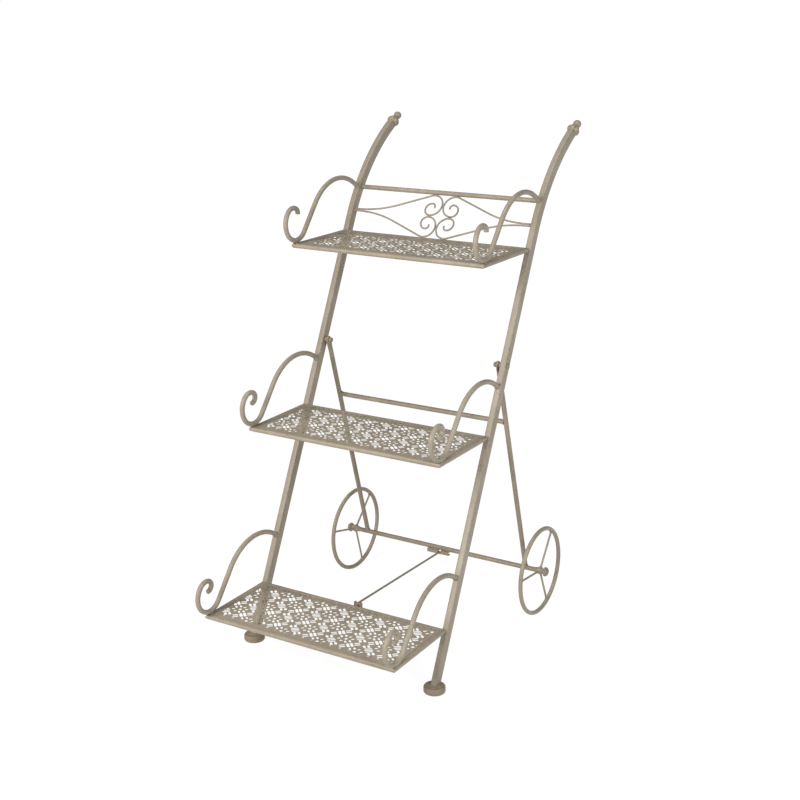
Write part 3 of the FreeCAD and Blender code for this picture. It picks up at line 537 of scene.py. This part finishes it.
def trimmed(outline):
    """The part of a hole that lies inside the field, or nothing when only a sliver is left."""
    (left, right), (back, front) = FIELD
    for axis, limit, sign in ((0, left, 1), (0, right, -1), (1, back, 1), (1, front, -1)):
        kept = []
        for start, end in zip(outline, outline[1:] + outline[:1]):
            here, there = sign * (start[axis] - limit), sign * (end[axis] - limit)
            if here >= 0:
                kept.append(start)
            if here * there < 0:
                share = here / (here - there)
                kept.append(tuple(u + (v - u) * share for u, v in zip(start, end)))
        outline = kept
    if not outline:
        return None
    wide = max(x for x, _ in outline) - min(x for x, _ in outline)
    deep = max(y for _, y in outline) - min(y for _, y in outline)
    return outline if min(wide, deep) > SLIVER else None


def punched_holes():
    holes = []
    for row in range(-1, 7):
        for column in range(-4, 5):
            x0 = NET_START[0] + column * NET_ACROSS + row % 2 * NET_SHIFT
            y0 = NET_START[1] + row * NET_FORWARD
            for x, y, length, wide, angle in MOTIF:
                hole = trimmed(slot_outline(x0 + x, y0 + y, length, wide, angle))
                if hole:
                    holes.append(hole)
    return holes


holes = punched_holes()
print("holes in a sheet:", len(holes))

# %% [markdown]
# A flat Blender curve fills the sheet's outline and leaves the holes open, and its extrusion
# gives the sheet a thickness whose cut edges can be seen. The sheet is made once, with edges
# that reach just into the rods a little below their tops, and each shelf gets a copy.

# %% Punched sheets
SHEET_THICK, SHEET_TOP = 0.65, 4
TOUCH, LAP = 3.1, 0.3
seat = math.sqrt((ROD / 2) ** 2 - TOUCH ** 2) - LAP


def flat_spline(curve, points):
    spline = curve.splines.new("POLY")
    spline.points.add(len(points) - 1)
    for spot, (x, y) in zip(spline.points, points):
        spot.co = (x * MM, y * MM, 0, 1)
    spline.use_cyclic_u = True


def punched_sheet():
    """The sheet as a mesh, with the back left corner of the rim's centre lines at zero."""
    curve = bpy.data.curves.new("sheet", "CURVE")
    curve.dimensions = "2D"
    curve.fill_mode = "BOTH"
    curve.extrude = SHEET_THICK / 2 * MM
    wide, deep = SHELF_WIDE - seat, SHELF_DEEP - seat
    flat_spline(curve, [(seat, seat), (wide, seat), (wide, deep), (seat, deep)])
    for outline in holes:
        flat_spline(curve, outline)
    holder = bpy.data.objects.new("sheet", curve)
    scene.collection.objects.link(holder)
    bpy.context.view_layer.update()
    mesh = bpy.data.meshes.new_from_object(holder.evaluated_get(
        bpy.context.evaluated_depsgraph_get()))
    bpy.data.objects.remove(holder)
    bpy.data.curves.remove(curve)
    return mesh


sheet_mesh = punched_sheet()
for name, level in SHELVES.items():
    mesh = sheet_mesh.copy()
    for vertex in mesh.vertices:
        x, y, z = vertex.co
        vertex.co = (x - SHELF_WIDE / 2 * MM,
                     (back_rod_y(level) + GROUND_Y) * MM - y,
                     z + (level + SHEET_TOP - SHEET_THICK / 2) * MM)
    show(f"punched_sheet_{name}", mesh, "frame", "shelf", f"shelf_panel_{name}",
         sharp=40)

# %% [markdown]
# An arm is one rod: it leaves the front of the upright, bows over, runs down to the shelf's
# side rod, curls under the front corner and winds up into a scroll. On the real stand it is
# bent cold round three pegs, so it is drawn the same way: arcs that touch each other.

# %% Scrolled arms
HUMP, HUMP_RADIUS = (160.0, 6.0), 110.0
CURL, CURL_RADIUS = (5.5, 45.0), 35.0
SCROLL_RADIUS, SCROLL_TURN = 23.0, 47.0
EYE_RADIUS, EYE_TURN = 11.0, -25.0
ARM_TOP, ARM_SPARE = 84.0, 12


def arm_line(end_turn):
    """(distance behind the front rod, height above it), from the upright to the scroll's eye."""
    start = math.degrees(math.asin((ARM_TOP - HUMP[1]) / HUMP_RADIUS))
    leave = crossing_normal(HUMP, HUMP_RADIUS, CURL, CURL_RADIUS, -1) % 360
    line = bow(HUMP, HUMP_RADIUS, start - ARM_SPARE, leave, 3)
    first, second, last = SCROLL_TURN + 90, EYE_TURN + 90, end_turn + 90
    scroll = polar(CURL, CURL_RADIUS - SCROLL_RADIUS, first)
    eye = polar(scroll, SCROLL_RADIUS - EYE_RADIUS, second)
    arrive = (leave + 180) % 360
    line += bow(CURL, CURL_RADIUS, arrive, first, 5)
    line += bow(scroll, SCROLL_RADIUS, first, second, 6)[1:]
    line += bow(eye, EYE_RADIUS, second, last, 8)[1:]
    return line


def upright_face(level, point):
    """How far a point of the arm lies in front of the tube, and the front face's normal."""
    y, z = front_rod_y(level) + point[0], level + point[1]
    if z > BEND_HEIGHT:
        dy, dz = y - BEND_Y, z - BEND_Z
        reach = math.hypot(dy, dz)
        return reach - BEND_RADIUS - UPRIGHT_DEEP / 2, Vector((0, dy / reach, dz / reach))
    gap = (lean_y(z) - y) * math.cos(LEAN) - UPRIGHT_DEEP / 2
    return gap, Vector((0, -math.cos(LEAN), math.sin(LEAN)))


def seated_arm(level, end_turn):
    """The arm's line from the tube's front face on, and that face's normal."""
    line = arm_line(end_turn)
    while upright_face(level, line[1])[0] < 1.0:
        line.pop(0)
    behind, ahead = (upright_face(level, point)[0] for point in line[:2])
    share = -behind / (ahead - behind)
    line[0] = tuple(a + (b - a) * share for a, b in zip(*line[:2]))
    return line, upright_face(level, line[0])[1]


for name, level in SHELVES.items():
    line, normal = seated_arm(level, -95.0 if name == "top" else -180.0)
    for side, sign in SIDES:
        form = Form()
        x = sign * SHELF_WIDE / 2
        path = [Vector((x, front_rod_y(level) + y, level + z)) for y, z in line]
        form.carry(path, ROUND_ROD, side=ACROSS, cut=normal, round_ends=0.25)
        form.make(f"scrolled_arm_{name}_{side}", "frame", "frame",
                  f"arm_{name}_{side}", sharp=50)

# %% [markdown]
# Behind the top shelf a straight bar joins the handles, and four thin wires are scrolled
# between bar and shelf. They meet near the middle as two pairs of curls. Upper and lower
# wires are mirror images, and so are left and right, so one line is drawn and reflected.

# %% Top bar and scrolled wires
WIRE, WIRE_GAP = 3.8, 0.075
WIRE_BOW, WIRE_STRAIGHT = 250.0, 15.0
SWIRL, SWIRL_EYE = 13.5, 7.0
form = Form()
form.carry([(sign * (INNER_FACE + 0.2), BAR_Y, BAR_HEIGHT) for sign in (-1, 1)], ROUND_ROD,
           side=(0, 0, 1))
form.make("handle_bar", "frame", "frame", "top_bar", sharp=50)

run, rise = BAR_Y - back_rod_y(SHELVES["top"]), BAR_HEIGHT - SHELVES["top"]
reach = math.hypot(run, rise) / 2
inside = WIRE / 2 + WIRE_GAP
turn_radius = (reach - ROD / 2 - WIRE / 2 - inside) / 2
wire_centre = (inside + turn_radius, inside + turn_radius)
wire_level = (WIRE + 0.6) / 2
bow_centre = (INNER_FACE - WIRE_STRAIGHT, wire_level + WIRE_BOW)
leave = crossing_normal(bow_centre, WIRE_BOW, wire_centre, turn_radius, 1) % 360
wire_line = [(INNER_FACE, wire_level)] + bow(bow_centre, WIRE_BOW, 270, leave, 2)
wire_line += bow(wire_centre, turn_radius, (leave + 180) % 360, 270, 5)
wire_line += bow((wire_centre[0], inside + SWIRL), SWIRL, -90, 90, 8)[1:]
wire_line += bow((wire_centre[0], inside + 2 * SWIRL - SWIRL_EYE), SWIRL_EYE, 90, 200, 10)[1:]
middle = Vector((0, BAR_Y - run / 2, BAR_HEIGHT - rise / 2))
climb = Vector((0, run, rise)).normalized()
form = Form()
for across in (1, -1):
    for up in (1, -1):
        path = [middle + Vector((across * x, 0, 0)) + climb * up * z for x, z in wire_line]
        form.carry(path, circle(WIRE / 2, 14), side=ACROSS.cross(climb), round_ends=0.4)
form.make("scrolled_wires", "frame", "frame", "back_scrolls", sharp=50)
print("half the space between bar and shelf:", round(reach, 1), "mm")

# %% [markdown]
# The rear legs hang on bolts through the uprights. Each leg is round rod hammered flat at
# the top, so its section goes from round to a thin eye over the last few centimetres. A
# crossbar and the axle join the two legs.

# %% Rear legs
LEG_DOWN = Vector((0, math.sin(LEG_ANGLE), -math.cos(LEG_ANGLE)))
PIVOT = Vector((0, PIVOT_Y, PIVOT_HEIGHT))
EYE, EYE_THICK, EYE_FADE = 16.0, 6.0, 22
CROSSBAR_DOWN, CROSSBAR_HALF = 134.0, 197.6


def leg_size(distance):
    """Thickness across the stand and width fore and aft, as shares of the rod."""
    if distance < EYE / 2:
        off_centre = 1 - distance / (EYE / 2)
        return EYE_THICK / ROD, EYE / ROD * math.sqrt(max(0.02, 1 - off_centre ** 2))
    share = min(1.0, max(0.0, (distance - EYE) / EYE_FADE))
    ease = share * share * (3 - 2 * share)
    return (EYE_THICK + (ROD - EYE_THICK) * ease) / ROD, (EYE + (ROD - EYE) * ease) / ROD


distances = [0.05, 0.4, 1.2, 2.5, 4.2, 6, 8, *range(10, 42, 2), 60, 200, 350,
             LEG_LENGTH + EYE / 2 - 3.0]
for side, sign in SIDES:
    form = Form()
    start = PIVOT + ACROSS * sign * LEG_X - LEG_DOWN * EYE / 2
    rings = []
    for distance in distances:
        thick, wide = leg_size(distance)
        point = start + LEG_DOWN * distance
        rings.append([point + ACROSS * a * thick + LEG_DOWN.cross(ACROSS) * b * wide
                      for a, b in ROUND_ROD])
    form.skin(rings)
    form.make(f"rear_leg_{side}", "leg_frame", "hardware", f"leg_{side}",
              sharp=50)

cross = PIVOT + LEG_DOWN * CROSSBAR_DOWN
form = Form()
form.carry([cross + ACROSS * sign * CROSSBAR_HALF for sign in (-1, 1)], ROUND_ROD,
           side=(0, 0, 1))
form.make("leg_crossbar", "leg_frame", "hardware", "crossbar", sharp=50)

HUB_HALF, PIN_RADIUS = 10.5, 4
hub_in, hub_out = WHEEL_X - HUB_HALF, WHEEL_X + HUB_HALF
shoulder, tip = hub_in - 0.3, hub_out + 4.3
axle = Vector((0, AXLE_Y, WHEEL_RADIUS))
form = Form()
form.turn([(-tip, 0), (-tip, PIN_RADIUS), (-shoulder, PIN_RADIUS), (-shoulder, ROD / 2),
           (shoulder, ROD / 2), (shoulder, PIN_RADIUS), (tip, PIN_RADIUS), (tip, 0)],
          axle, ACROSS, 28)
form.make("wheel_axle", "leg_frame", "hardware", "axle")

# %% [markdown]
# The bolts are seen from outside as low domes and from inside as hexagon nuts. A hexagon
# needs no modelling of its own: while the nut's profile is turned, its radius is held back
# to the flats.

# %% Hinge bolts and axle caps
def hexagonal(across_flats):
    def shape(angle, along, radius):
        turned = (angle % (math.pi / 3)) - math.pi / 6
        return min(radius, across_flats / 2 / math.cos(turned))
    return shape


BOLT_RADIUS, NUT_FLATS = 3, 9.6
outside = UPRIGHT_X + UPRIGHT_WIDE / 2
leg_in, leg_out = LEG_X - EYE_THICK / 2 - 0.3, LEG_X + EYE_THICK / 2 + 0.3
dome = [(outside + 0.05, 0), (outside + 0.05, 5.9), (outside + 0.9, 6.0)]
dome += [(outside + 0.9 + 2.5 * math.sin(math.radians(angle)),
          5.9 * math.cos(math.radians(angle))) for angle in (15, 30, 45, 60, 75, 88)]
nut = [(leg_in - 5, 0), (leg_in - 5, 4.6), (leg_in - 4.2, 5.4), (leg_in - 0.4, 5.4),
       (leg_in, 5.0), (leg_in, 0)]
washer = [(leg_out, 0), (leg_out, 5.2), (leg_out + 0.3, 5.4), (INNER_FACE - 0.3, 5.4),
          (INNER_FACE, 5.2), (INNER_FACE, 0)]
shank = [(leg_in - 6.5, 0), (leg_in - 6.5, 2.5), (leg_in - 6, BOLT_RADIUS),
         (outside, BOLT_RADIUS), (outside, 0)]
cap = hub_out + 0.3
cap_profile = [(cap, 4.02), (cap, 9.4), (cap + 0.5, 10.0), (cap + 1.8, 10.0), (cap + 3.2, 9.8),
               (cap + 4.6, 9.3), (cap + 6, 8.3), (cap + 7.2, 6.8), (cap + 8.2, 4.8),
               (cap + 8.8, 2.6), (cap + 9, 0.5)]
for side, sign in SIDES:
    way = (sign, 0, 0)
    form = Form()
    form.turn(dome, PIVOT, way, 36)
    form.turn(nut, PIVOT, way, 60, hexagonal(NUT_FLATS))
    form.turn(washer, PIVOT, way, 36)
    form.turn(shank, PIVOT, way, 24)
    form.make(f"hinge_bolt_{side}_set", "frame", "hardware", "hinge_bolts")
    form = Form()
    form.turn(cap_profile, axle, way, 40)
    form.make(f"axle_cap_{side}", "leg_frame", "hardware", "axle_caps",
              sharp=60)

# %% [markdown]
# A wheel is a hoop of round rod with three thin spokes welded to it and to a short hub. The
# two wheels have come to rest at slightly different turns, so each gets its own first angle.

# %% Wheels
HOOP = WHEEL_RADIUS - WHEEL_RING / 2
SPOKE_RADIUS, SPOKE_WELD = 2.2, 2.4
hub_side = [(-10.5, 4.06), (-10.5, 5.6), (-10.1, 6.0), (-5.6, 6.0), (-4.6, 6.6), (-4.1, 7.5)]
hub_profile = hub_side + [(-along, radius) for along, radius in reversed(hub_side)]
for side, sign, first in (("left", -1, 46.0), ("right", 1, 54.0)):
    centre = axle + ACROSS * sign * WHEEL_X
    form = Form()
    form.carry([centre + Vector((0, y, z)) for y, z in circle(HOOP, 96)],
               circle(WHEEL_RING / 2, 18), side=ACROSS, closed=True)
    form.make(f"wheel_hoop_{side}", f"wheel_{side}", "wheel",
              f"wheel_{side}_ring", sharp=60)
    form = Form()
    form.turn(hub_profile, centre, ACROSS, 36)
    for k in range(3):
        angle = math.radians(first + 120 * k)
        out = Vector((0, math.cos(angle), math.sin(angle)))
        form.carry([centre + out * 6.5, centre + out * (HOOP - 3.9)],
                   circle(SPOKE_RADIUS, 14), side=ACROSS)
        for spot, size in ((7.6, 1.3), (HOOP - 4.8, 1.4)):
            ring = [centre + out * spot + ACROSS * a + out.cross(ACROSS) * b
                    for a, b in circle(SPOKE_WELD, 14)]
            form.bead(ring, size, closed=True, seed=k + 3)
    form.make(f"wheel_hub_{side}", f"wheel_{side}", "wheel",
              f"wheel_{side}_hub", sharp=50)

# %% [markdown]
# A thin stay keeps the rear legs from spreading. It turns in a folded channel welded to the
# axle, and its other end hooks down behind the bottom shelf, between the two ears of a small
# plate. Unhooked, it swings up against the crossbar and the stand folds.

# %% Stay, channel and plate
PLATE_X, PLATE_THICK, PIN_X, PIN_DROP = 17.0, 2.5, -5.5, 5.5
CHANNEL_DEEP, CHANNEL_GAP, WALL = 14.0, 5.0, 1.5
plate_front = back_rod_y(SHELVES["bottom"]) + ROD / 2
pin = Vector((PIN_X, AXLE_Y - CHANNEL_DEEP + WALL + 0.3 + STAY_ROD / 2,
              WHEEL_RADIUS - PIN_DROP))
hook = Vector((PLATE_X, plate_front - 1 - STAY_ROD / 2, 122.0))


def rounded_line(corners, radius):
    """A line through corners, each replaced by a short arc."""
    corners = [Vector(corner) for corner in corners]
    line = [corners[0]]
    for before, corner, after in zip(corners, corners[1:], corners[2:]):
        arriving, leaving = (corner - before).normalized(), (after - corner).normalized()
        turn = arriving.angle(leaving)
        setback = radius * math.tan(turn / 2)
        start, end = corner - arriving * setback, corner + leaving * setback
        for k in range(9):
            share = k / 8
            line.append(start.lerp(corner, share).lerp(corner.lerp(end, share), share))
    line.append(corners[-1])
    return line


form = Form()
form.carry(rounded_line([pin - ACROSS * 24, pin, hook, hook - Vector((0, 0, 4.5))], 4.2),
           circle(STAY_ROD / 2, 14), round_ends=0.4)
form.make("hooked_stay", "stay", "hardware", "stay_rod", sharp=50)

low, high = -PIN_DROP - CHANNEL_GAP / 2 - WALL, -PIN_DROP + CHANNEL_GAP / 2 + WALL
front, rear = -CHANNEL_DEEP, -math.sqrt((ROD / 2) ** 2 - high ** 2) - 0.05
inner_low, inner_high = low + WALL, high - WALL
outer, inner = 1.4, 0.42
fold = [(front + outer, low), (front + inner, low + inner), (front, low + outer)]
fold_up = [(front, high - outer), (front + inner, high - inner), (front + outer, high)]
outline = ([(rear, low)] + fold + fold_up + [(rear, high), (rear, inner_high)]
           + [(front + WALL, inner_high), (front + WALL, inner_low), (rear, inner_low)])
tray = [(rear, low)] + fold + [(front, inner_low), (rear, inner_low)]
window = STAY_ROD / 2 + 0.9
form = Form()
for section, start, end in ((outline, -36, PIN_X - window), (outline, PIN_X + window, 18),
                            (tray, PIN_X - window, PIN_X + window)):
    form.skin([[axle + Vector((x, y, z)) for y, z in section] for x in (start, end)])
form.make("folded_channel", "leg_frame", "hardware", "stay_channel")

ear = [(9.5, -4), (9.5, 11), (8, 12.5), (4.7, 12.5), (3.5, 11.5), (3.5, 6.9)]
plate = [(-9.5, -4), (-8.5, -5), (8.5, -5)] + ear + [(-x, z) for x, z in reversed(ear[1:])]
form = Form()
form.skin([[Vector((PLATE_X + x, plate_front + depth, SHELVES["bottom"] + z))
            for x, z in plate] for depth in (0, PLATE_THICK)])
form.make("notched_plate", "frame", "hardware", "stay_bracket")

# %% [markdown]
# Where rods meet, the maker has run a small weld and painted over it. The beads are lumpy
# skins along the seams: rings where a rod ends on another, and short runs where two rods lie
# against each other. They are small, but a rod that simply ends in another looks unmade.

# %% Welds on the fixed frame
def ring_at(centre, way, radius, count=16):
    way = Vector(way).normalized()
    side = way.orthogonal().normalized()
    other = way.cross(side)
    return [Vector(centre) + side * a + other * b for a, b in circle(radius, count)]


BEAD, FINE_BEAD = 1.3, 1.2
HALF = ROD / 2
form = Form()
seed = 10
for name, level in SHELVES.items():
    line, normal = seated_arm(level, -180.0)
    way = Vector((0, line[1][0] - line[0][0], line[1][1] - line[0][1])).normalized()
    front, back = front_rod_y(level), back_rod_y(level)
    for sign in (1, -1):
        x = sign * SHELF_WIDE / 2
        origin = Vector((x, front + line[0][0], level + line[0][1]))
        seam = [spot + way * ((origin - spot).dot(normal) / way.dot(normal))
                for spot in ring_at(origin, way, HALF, 20)]
        form.bead(seam, BEAD, closed=True, seed=seed)
        for inner in (-1, 1):
            form.bead([(x + inner * 3.2, front + y, level + HALF) for y in (-1, 3, 7, 11)],
                      BEAD, seed=seed + 1)
            form.bead([(x + inner * 3.4, back + HALF, level + z) for z in (-2.5, 0, 2.5)],
                      FINE_BEAD, seed=seed + 2)
        for corner_y in (front + HALF, back - HALF):
            form.bead([(x - sign * HALF, corner_y, level + z) for z in (-2.5, 0, 2.0)],
                      FINE_BEAD, seed=seed + 3)
        seed += 5
for sign in (1, -1):
    bar_end, wire_end = sign * (INNER_FACE - 0.3), sign * (INNER_FACE - 0.4)
    form.bead(ring_at((bar_end, BAR_Y, BAR_HEIGHT), ACROSS, HALF + 0.1), BEAD, closed=True,
              seed=71)
    form.bead(ring_at((wire_end, middle.y, middle.z), ACROSS, 3.2, 12), FINE_BEAD, closed=True,
              seed=72)
    for up in (1, -1):
        touch = (middle + ACROSS * sign * wire_centre[0]
                 + climb * up * (wire_centre[1] + turn_radius + WIRE / 2))
        for off in (1.7, -1.7):
            form.bead([touch + Vector((x, off * climb.z, -off * climb.y)) for x in (-3, 0, 3)],
                      0.9, seed=73)
form.make("frame_welds", "frame", "weld", sharp=60)

# %% [markdown]
# The leg frame folds as one, so its welds ride with it: at both ends of the crossbar, where
# the legs stand on the axle, and in four short runs above the channel.

# %% Welds on the leg frame
form = Form()
for sign in (1, -1):
    form.bead(ring_at(cross + ACROSS * sign * (CROSSBAR_HALF - 0.6), ACROSS, HALF + 0.1), BEAD,
              closed=True, seed=81)
    foot_of_leg = PIVOT + ACROSS * sign * LEG_X + LEG_DOWN * (LEG_LENGTH - 5.2)
    form.bead(ring_at(foot_of_leg, LEG_DOWN, HALF), BEAD, closed=True, seed=82)
for x in (-33, -22, 6, 14):
    form.bead([axle + Vector((x + k, rear - 0.2, high + 0.2)) for k in (0, 2.5, 5)], 0.9,
              seed=83 + x)
form.make("leg_welds", "leg_frame", "weld", sharp=60)

# %% [markdown]
# The setting is a plain pale floor in soft studio light. The camera sees the floor and the
# world as white, while the light that falls on the paint stays at a plain level, so that a
# colour renders about as it is written.

# %% Floor and world
WHITE = (1, 1, 1, 1)
scene.view_settings.view_transform = "Standard"
floor_mesh = bpy.data.meshes.new("studio_floor")
FLOOR_REACH = 30.0
floor_mesh.from_pydata([(x * FLOOR_REACH, y * FLOOR_REACH, 0)
                        for x, y in ((-1, -1), (1, -1), (1, 1), (-1, 1))], [], [(0, 1, 2, 3)])
floor = bpy.data.objects.new("studio_floor", floor_mesh)
scene.collection.objects.link(floor)
graph = Graph(bpy.data.materials.new("pale floor"))
seen = graph.add("ShaderNodeLightPath", {}, {}, "Is Camera Ray")
mirrored = graph.add("ShaderNodeLightPath", {}, {}, "Is Glossy Ray")
place = graph.add("ShaderNodeTexCoord", {}, {}, "Object")
distance = graph.add("ShaderNodeVectorMath", {"operation": "LENGTH"}, {0: place}, "Value")
glow = graph.add("ShaderNodeEmission", {}, {
    "Color": graph.mix(graph.ramp(distance, 1.0, 5.0), (0.9, 0.9, 0.9, 1), WHITE),
    "Strength": 1.0})
shaded = graph.add("ShaderNodeBsdfDiffuse", {}, {"Color": (0.18, 0.18, 0.18, 1)})
bright = graph.add("ShaderNodeAddShader", {}, {0: glow, 1: shaded})
plain = graph.add("ShaderNodeBsdfDiffuse", {}, {"Color": (0.8, 0.8, 0.79, 1)})
floor_mesh.materials.append(graph.finish(graph.add("ShaderNodeMixShader", {}, {
    0: (seen + mirrored).clamped(), 1: plain, 2: bright})))

sky = Graph(bpy.data.worlds.new("studio"), "ShaderNodeOutputWorld")
soft = sky.add("ShaderNodeBackground", {}, {"Color": (0.96, 0.98, 1.0, 1), "Strength": 0.25})
white = sky.add("ShaderNodeBackground", {}, {"Color": WHITE, "Strength": 1.0})
scene.world = sky.finish(sky.add("ShaderNodeMixShader", {}, {
    0: sky.add("ShaderNodeLightPath", {}, {}, "Is Camera Ray"), 1: soft, 2: white}))
print("floor and world ready")

# %% [markdown]
# Three soft lamps stand round the object: a warm key at the front, a cooler one close to the
# right side, so that the right tube is lighter than the left one, and a weak one above.

# %% Lamps
def soft_lamp(name, place, aim, wide, power, colour=(1, 1, 1)):
    lamp = bpy.data.lights.new(name, "AREA")
    lamp.shape = "SQUARE"
    lamp.size = wide
    lamp.energy = power
    lamp.color = colour
    holder = bpy.data.objects.new(name, lamp)
    holder.location = place
    holder.rotation_euler = (Vector(aim) - Vector(place)).to_track_quat("-Z", "Y").to_euler()
    holder.visible_camera = False
    scene.collection.objects.link(holder)


soft_lamp("key_light", (-0.7, -2.2, 1.5), (0, 0, 0.45), 0.9, 46, (1.0, 0.955, 0.90))
soft_lamp("side_light", (1.9, -0.9, 1.2), (0.2, 0, 0.45), 0.9, 23, (0.94, 0.985, 1.0))
soft_lamp("top_light", (0.0, -0.2, 3.2), (0, 0, 0.4), 1.4, 18)
print("lamps:", ", ".join(lamp.name for lamp in bpy.data.lights))

# %% [markdown]
# The camera stands where the picture was taken from: the shelves' edges, the upright plane of
# the tubes and the ellipses of the wheels give its direction, height and lens.

# %% Camera
CAMERA_PLACE = (1.4067, -2.2476, 1.3135)
LENS_PIXELS, PICTURE_PIXELS = 1373.23, 800
azimuth, elevation, roll = math.radians(31.743), math.radians(17.098), math.radians(-0.589)
back = Vector((math.sin(azimuth) * math.cos(elevation),
               -math.cos(azimuth) * math.cos(elevation), math.sin(elevation)))
right = Vector((math.cos(azimuth), math.sin(azimuth), 0))
up = back.cross(right)
view_right = right * math.cos(roll) + up * math.sin(roll)
view_up = up * math.cos(roll) - right * math.sin(roll)
camera = bpy.data.cameras.new("camera")
camera.sensor_width = 36.0
camera.lens = LENS_PIXELS / PICTURE_PIXELS * camera.sensor_width
camera.clip_end = 100.0
holder = bpy.data.objects.new("camera", camera)
scene.collection.objects.link(holder)
turned = Matrix(list(zip(view_right, view_up, back))).to_4x4()
holder.matrix_world = Matrix.Translation(CAMERA_PLACE) @ turned
scene.camera = holder
print("camera lens:", round(camera.lens, 2), "mm")
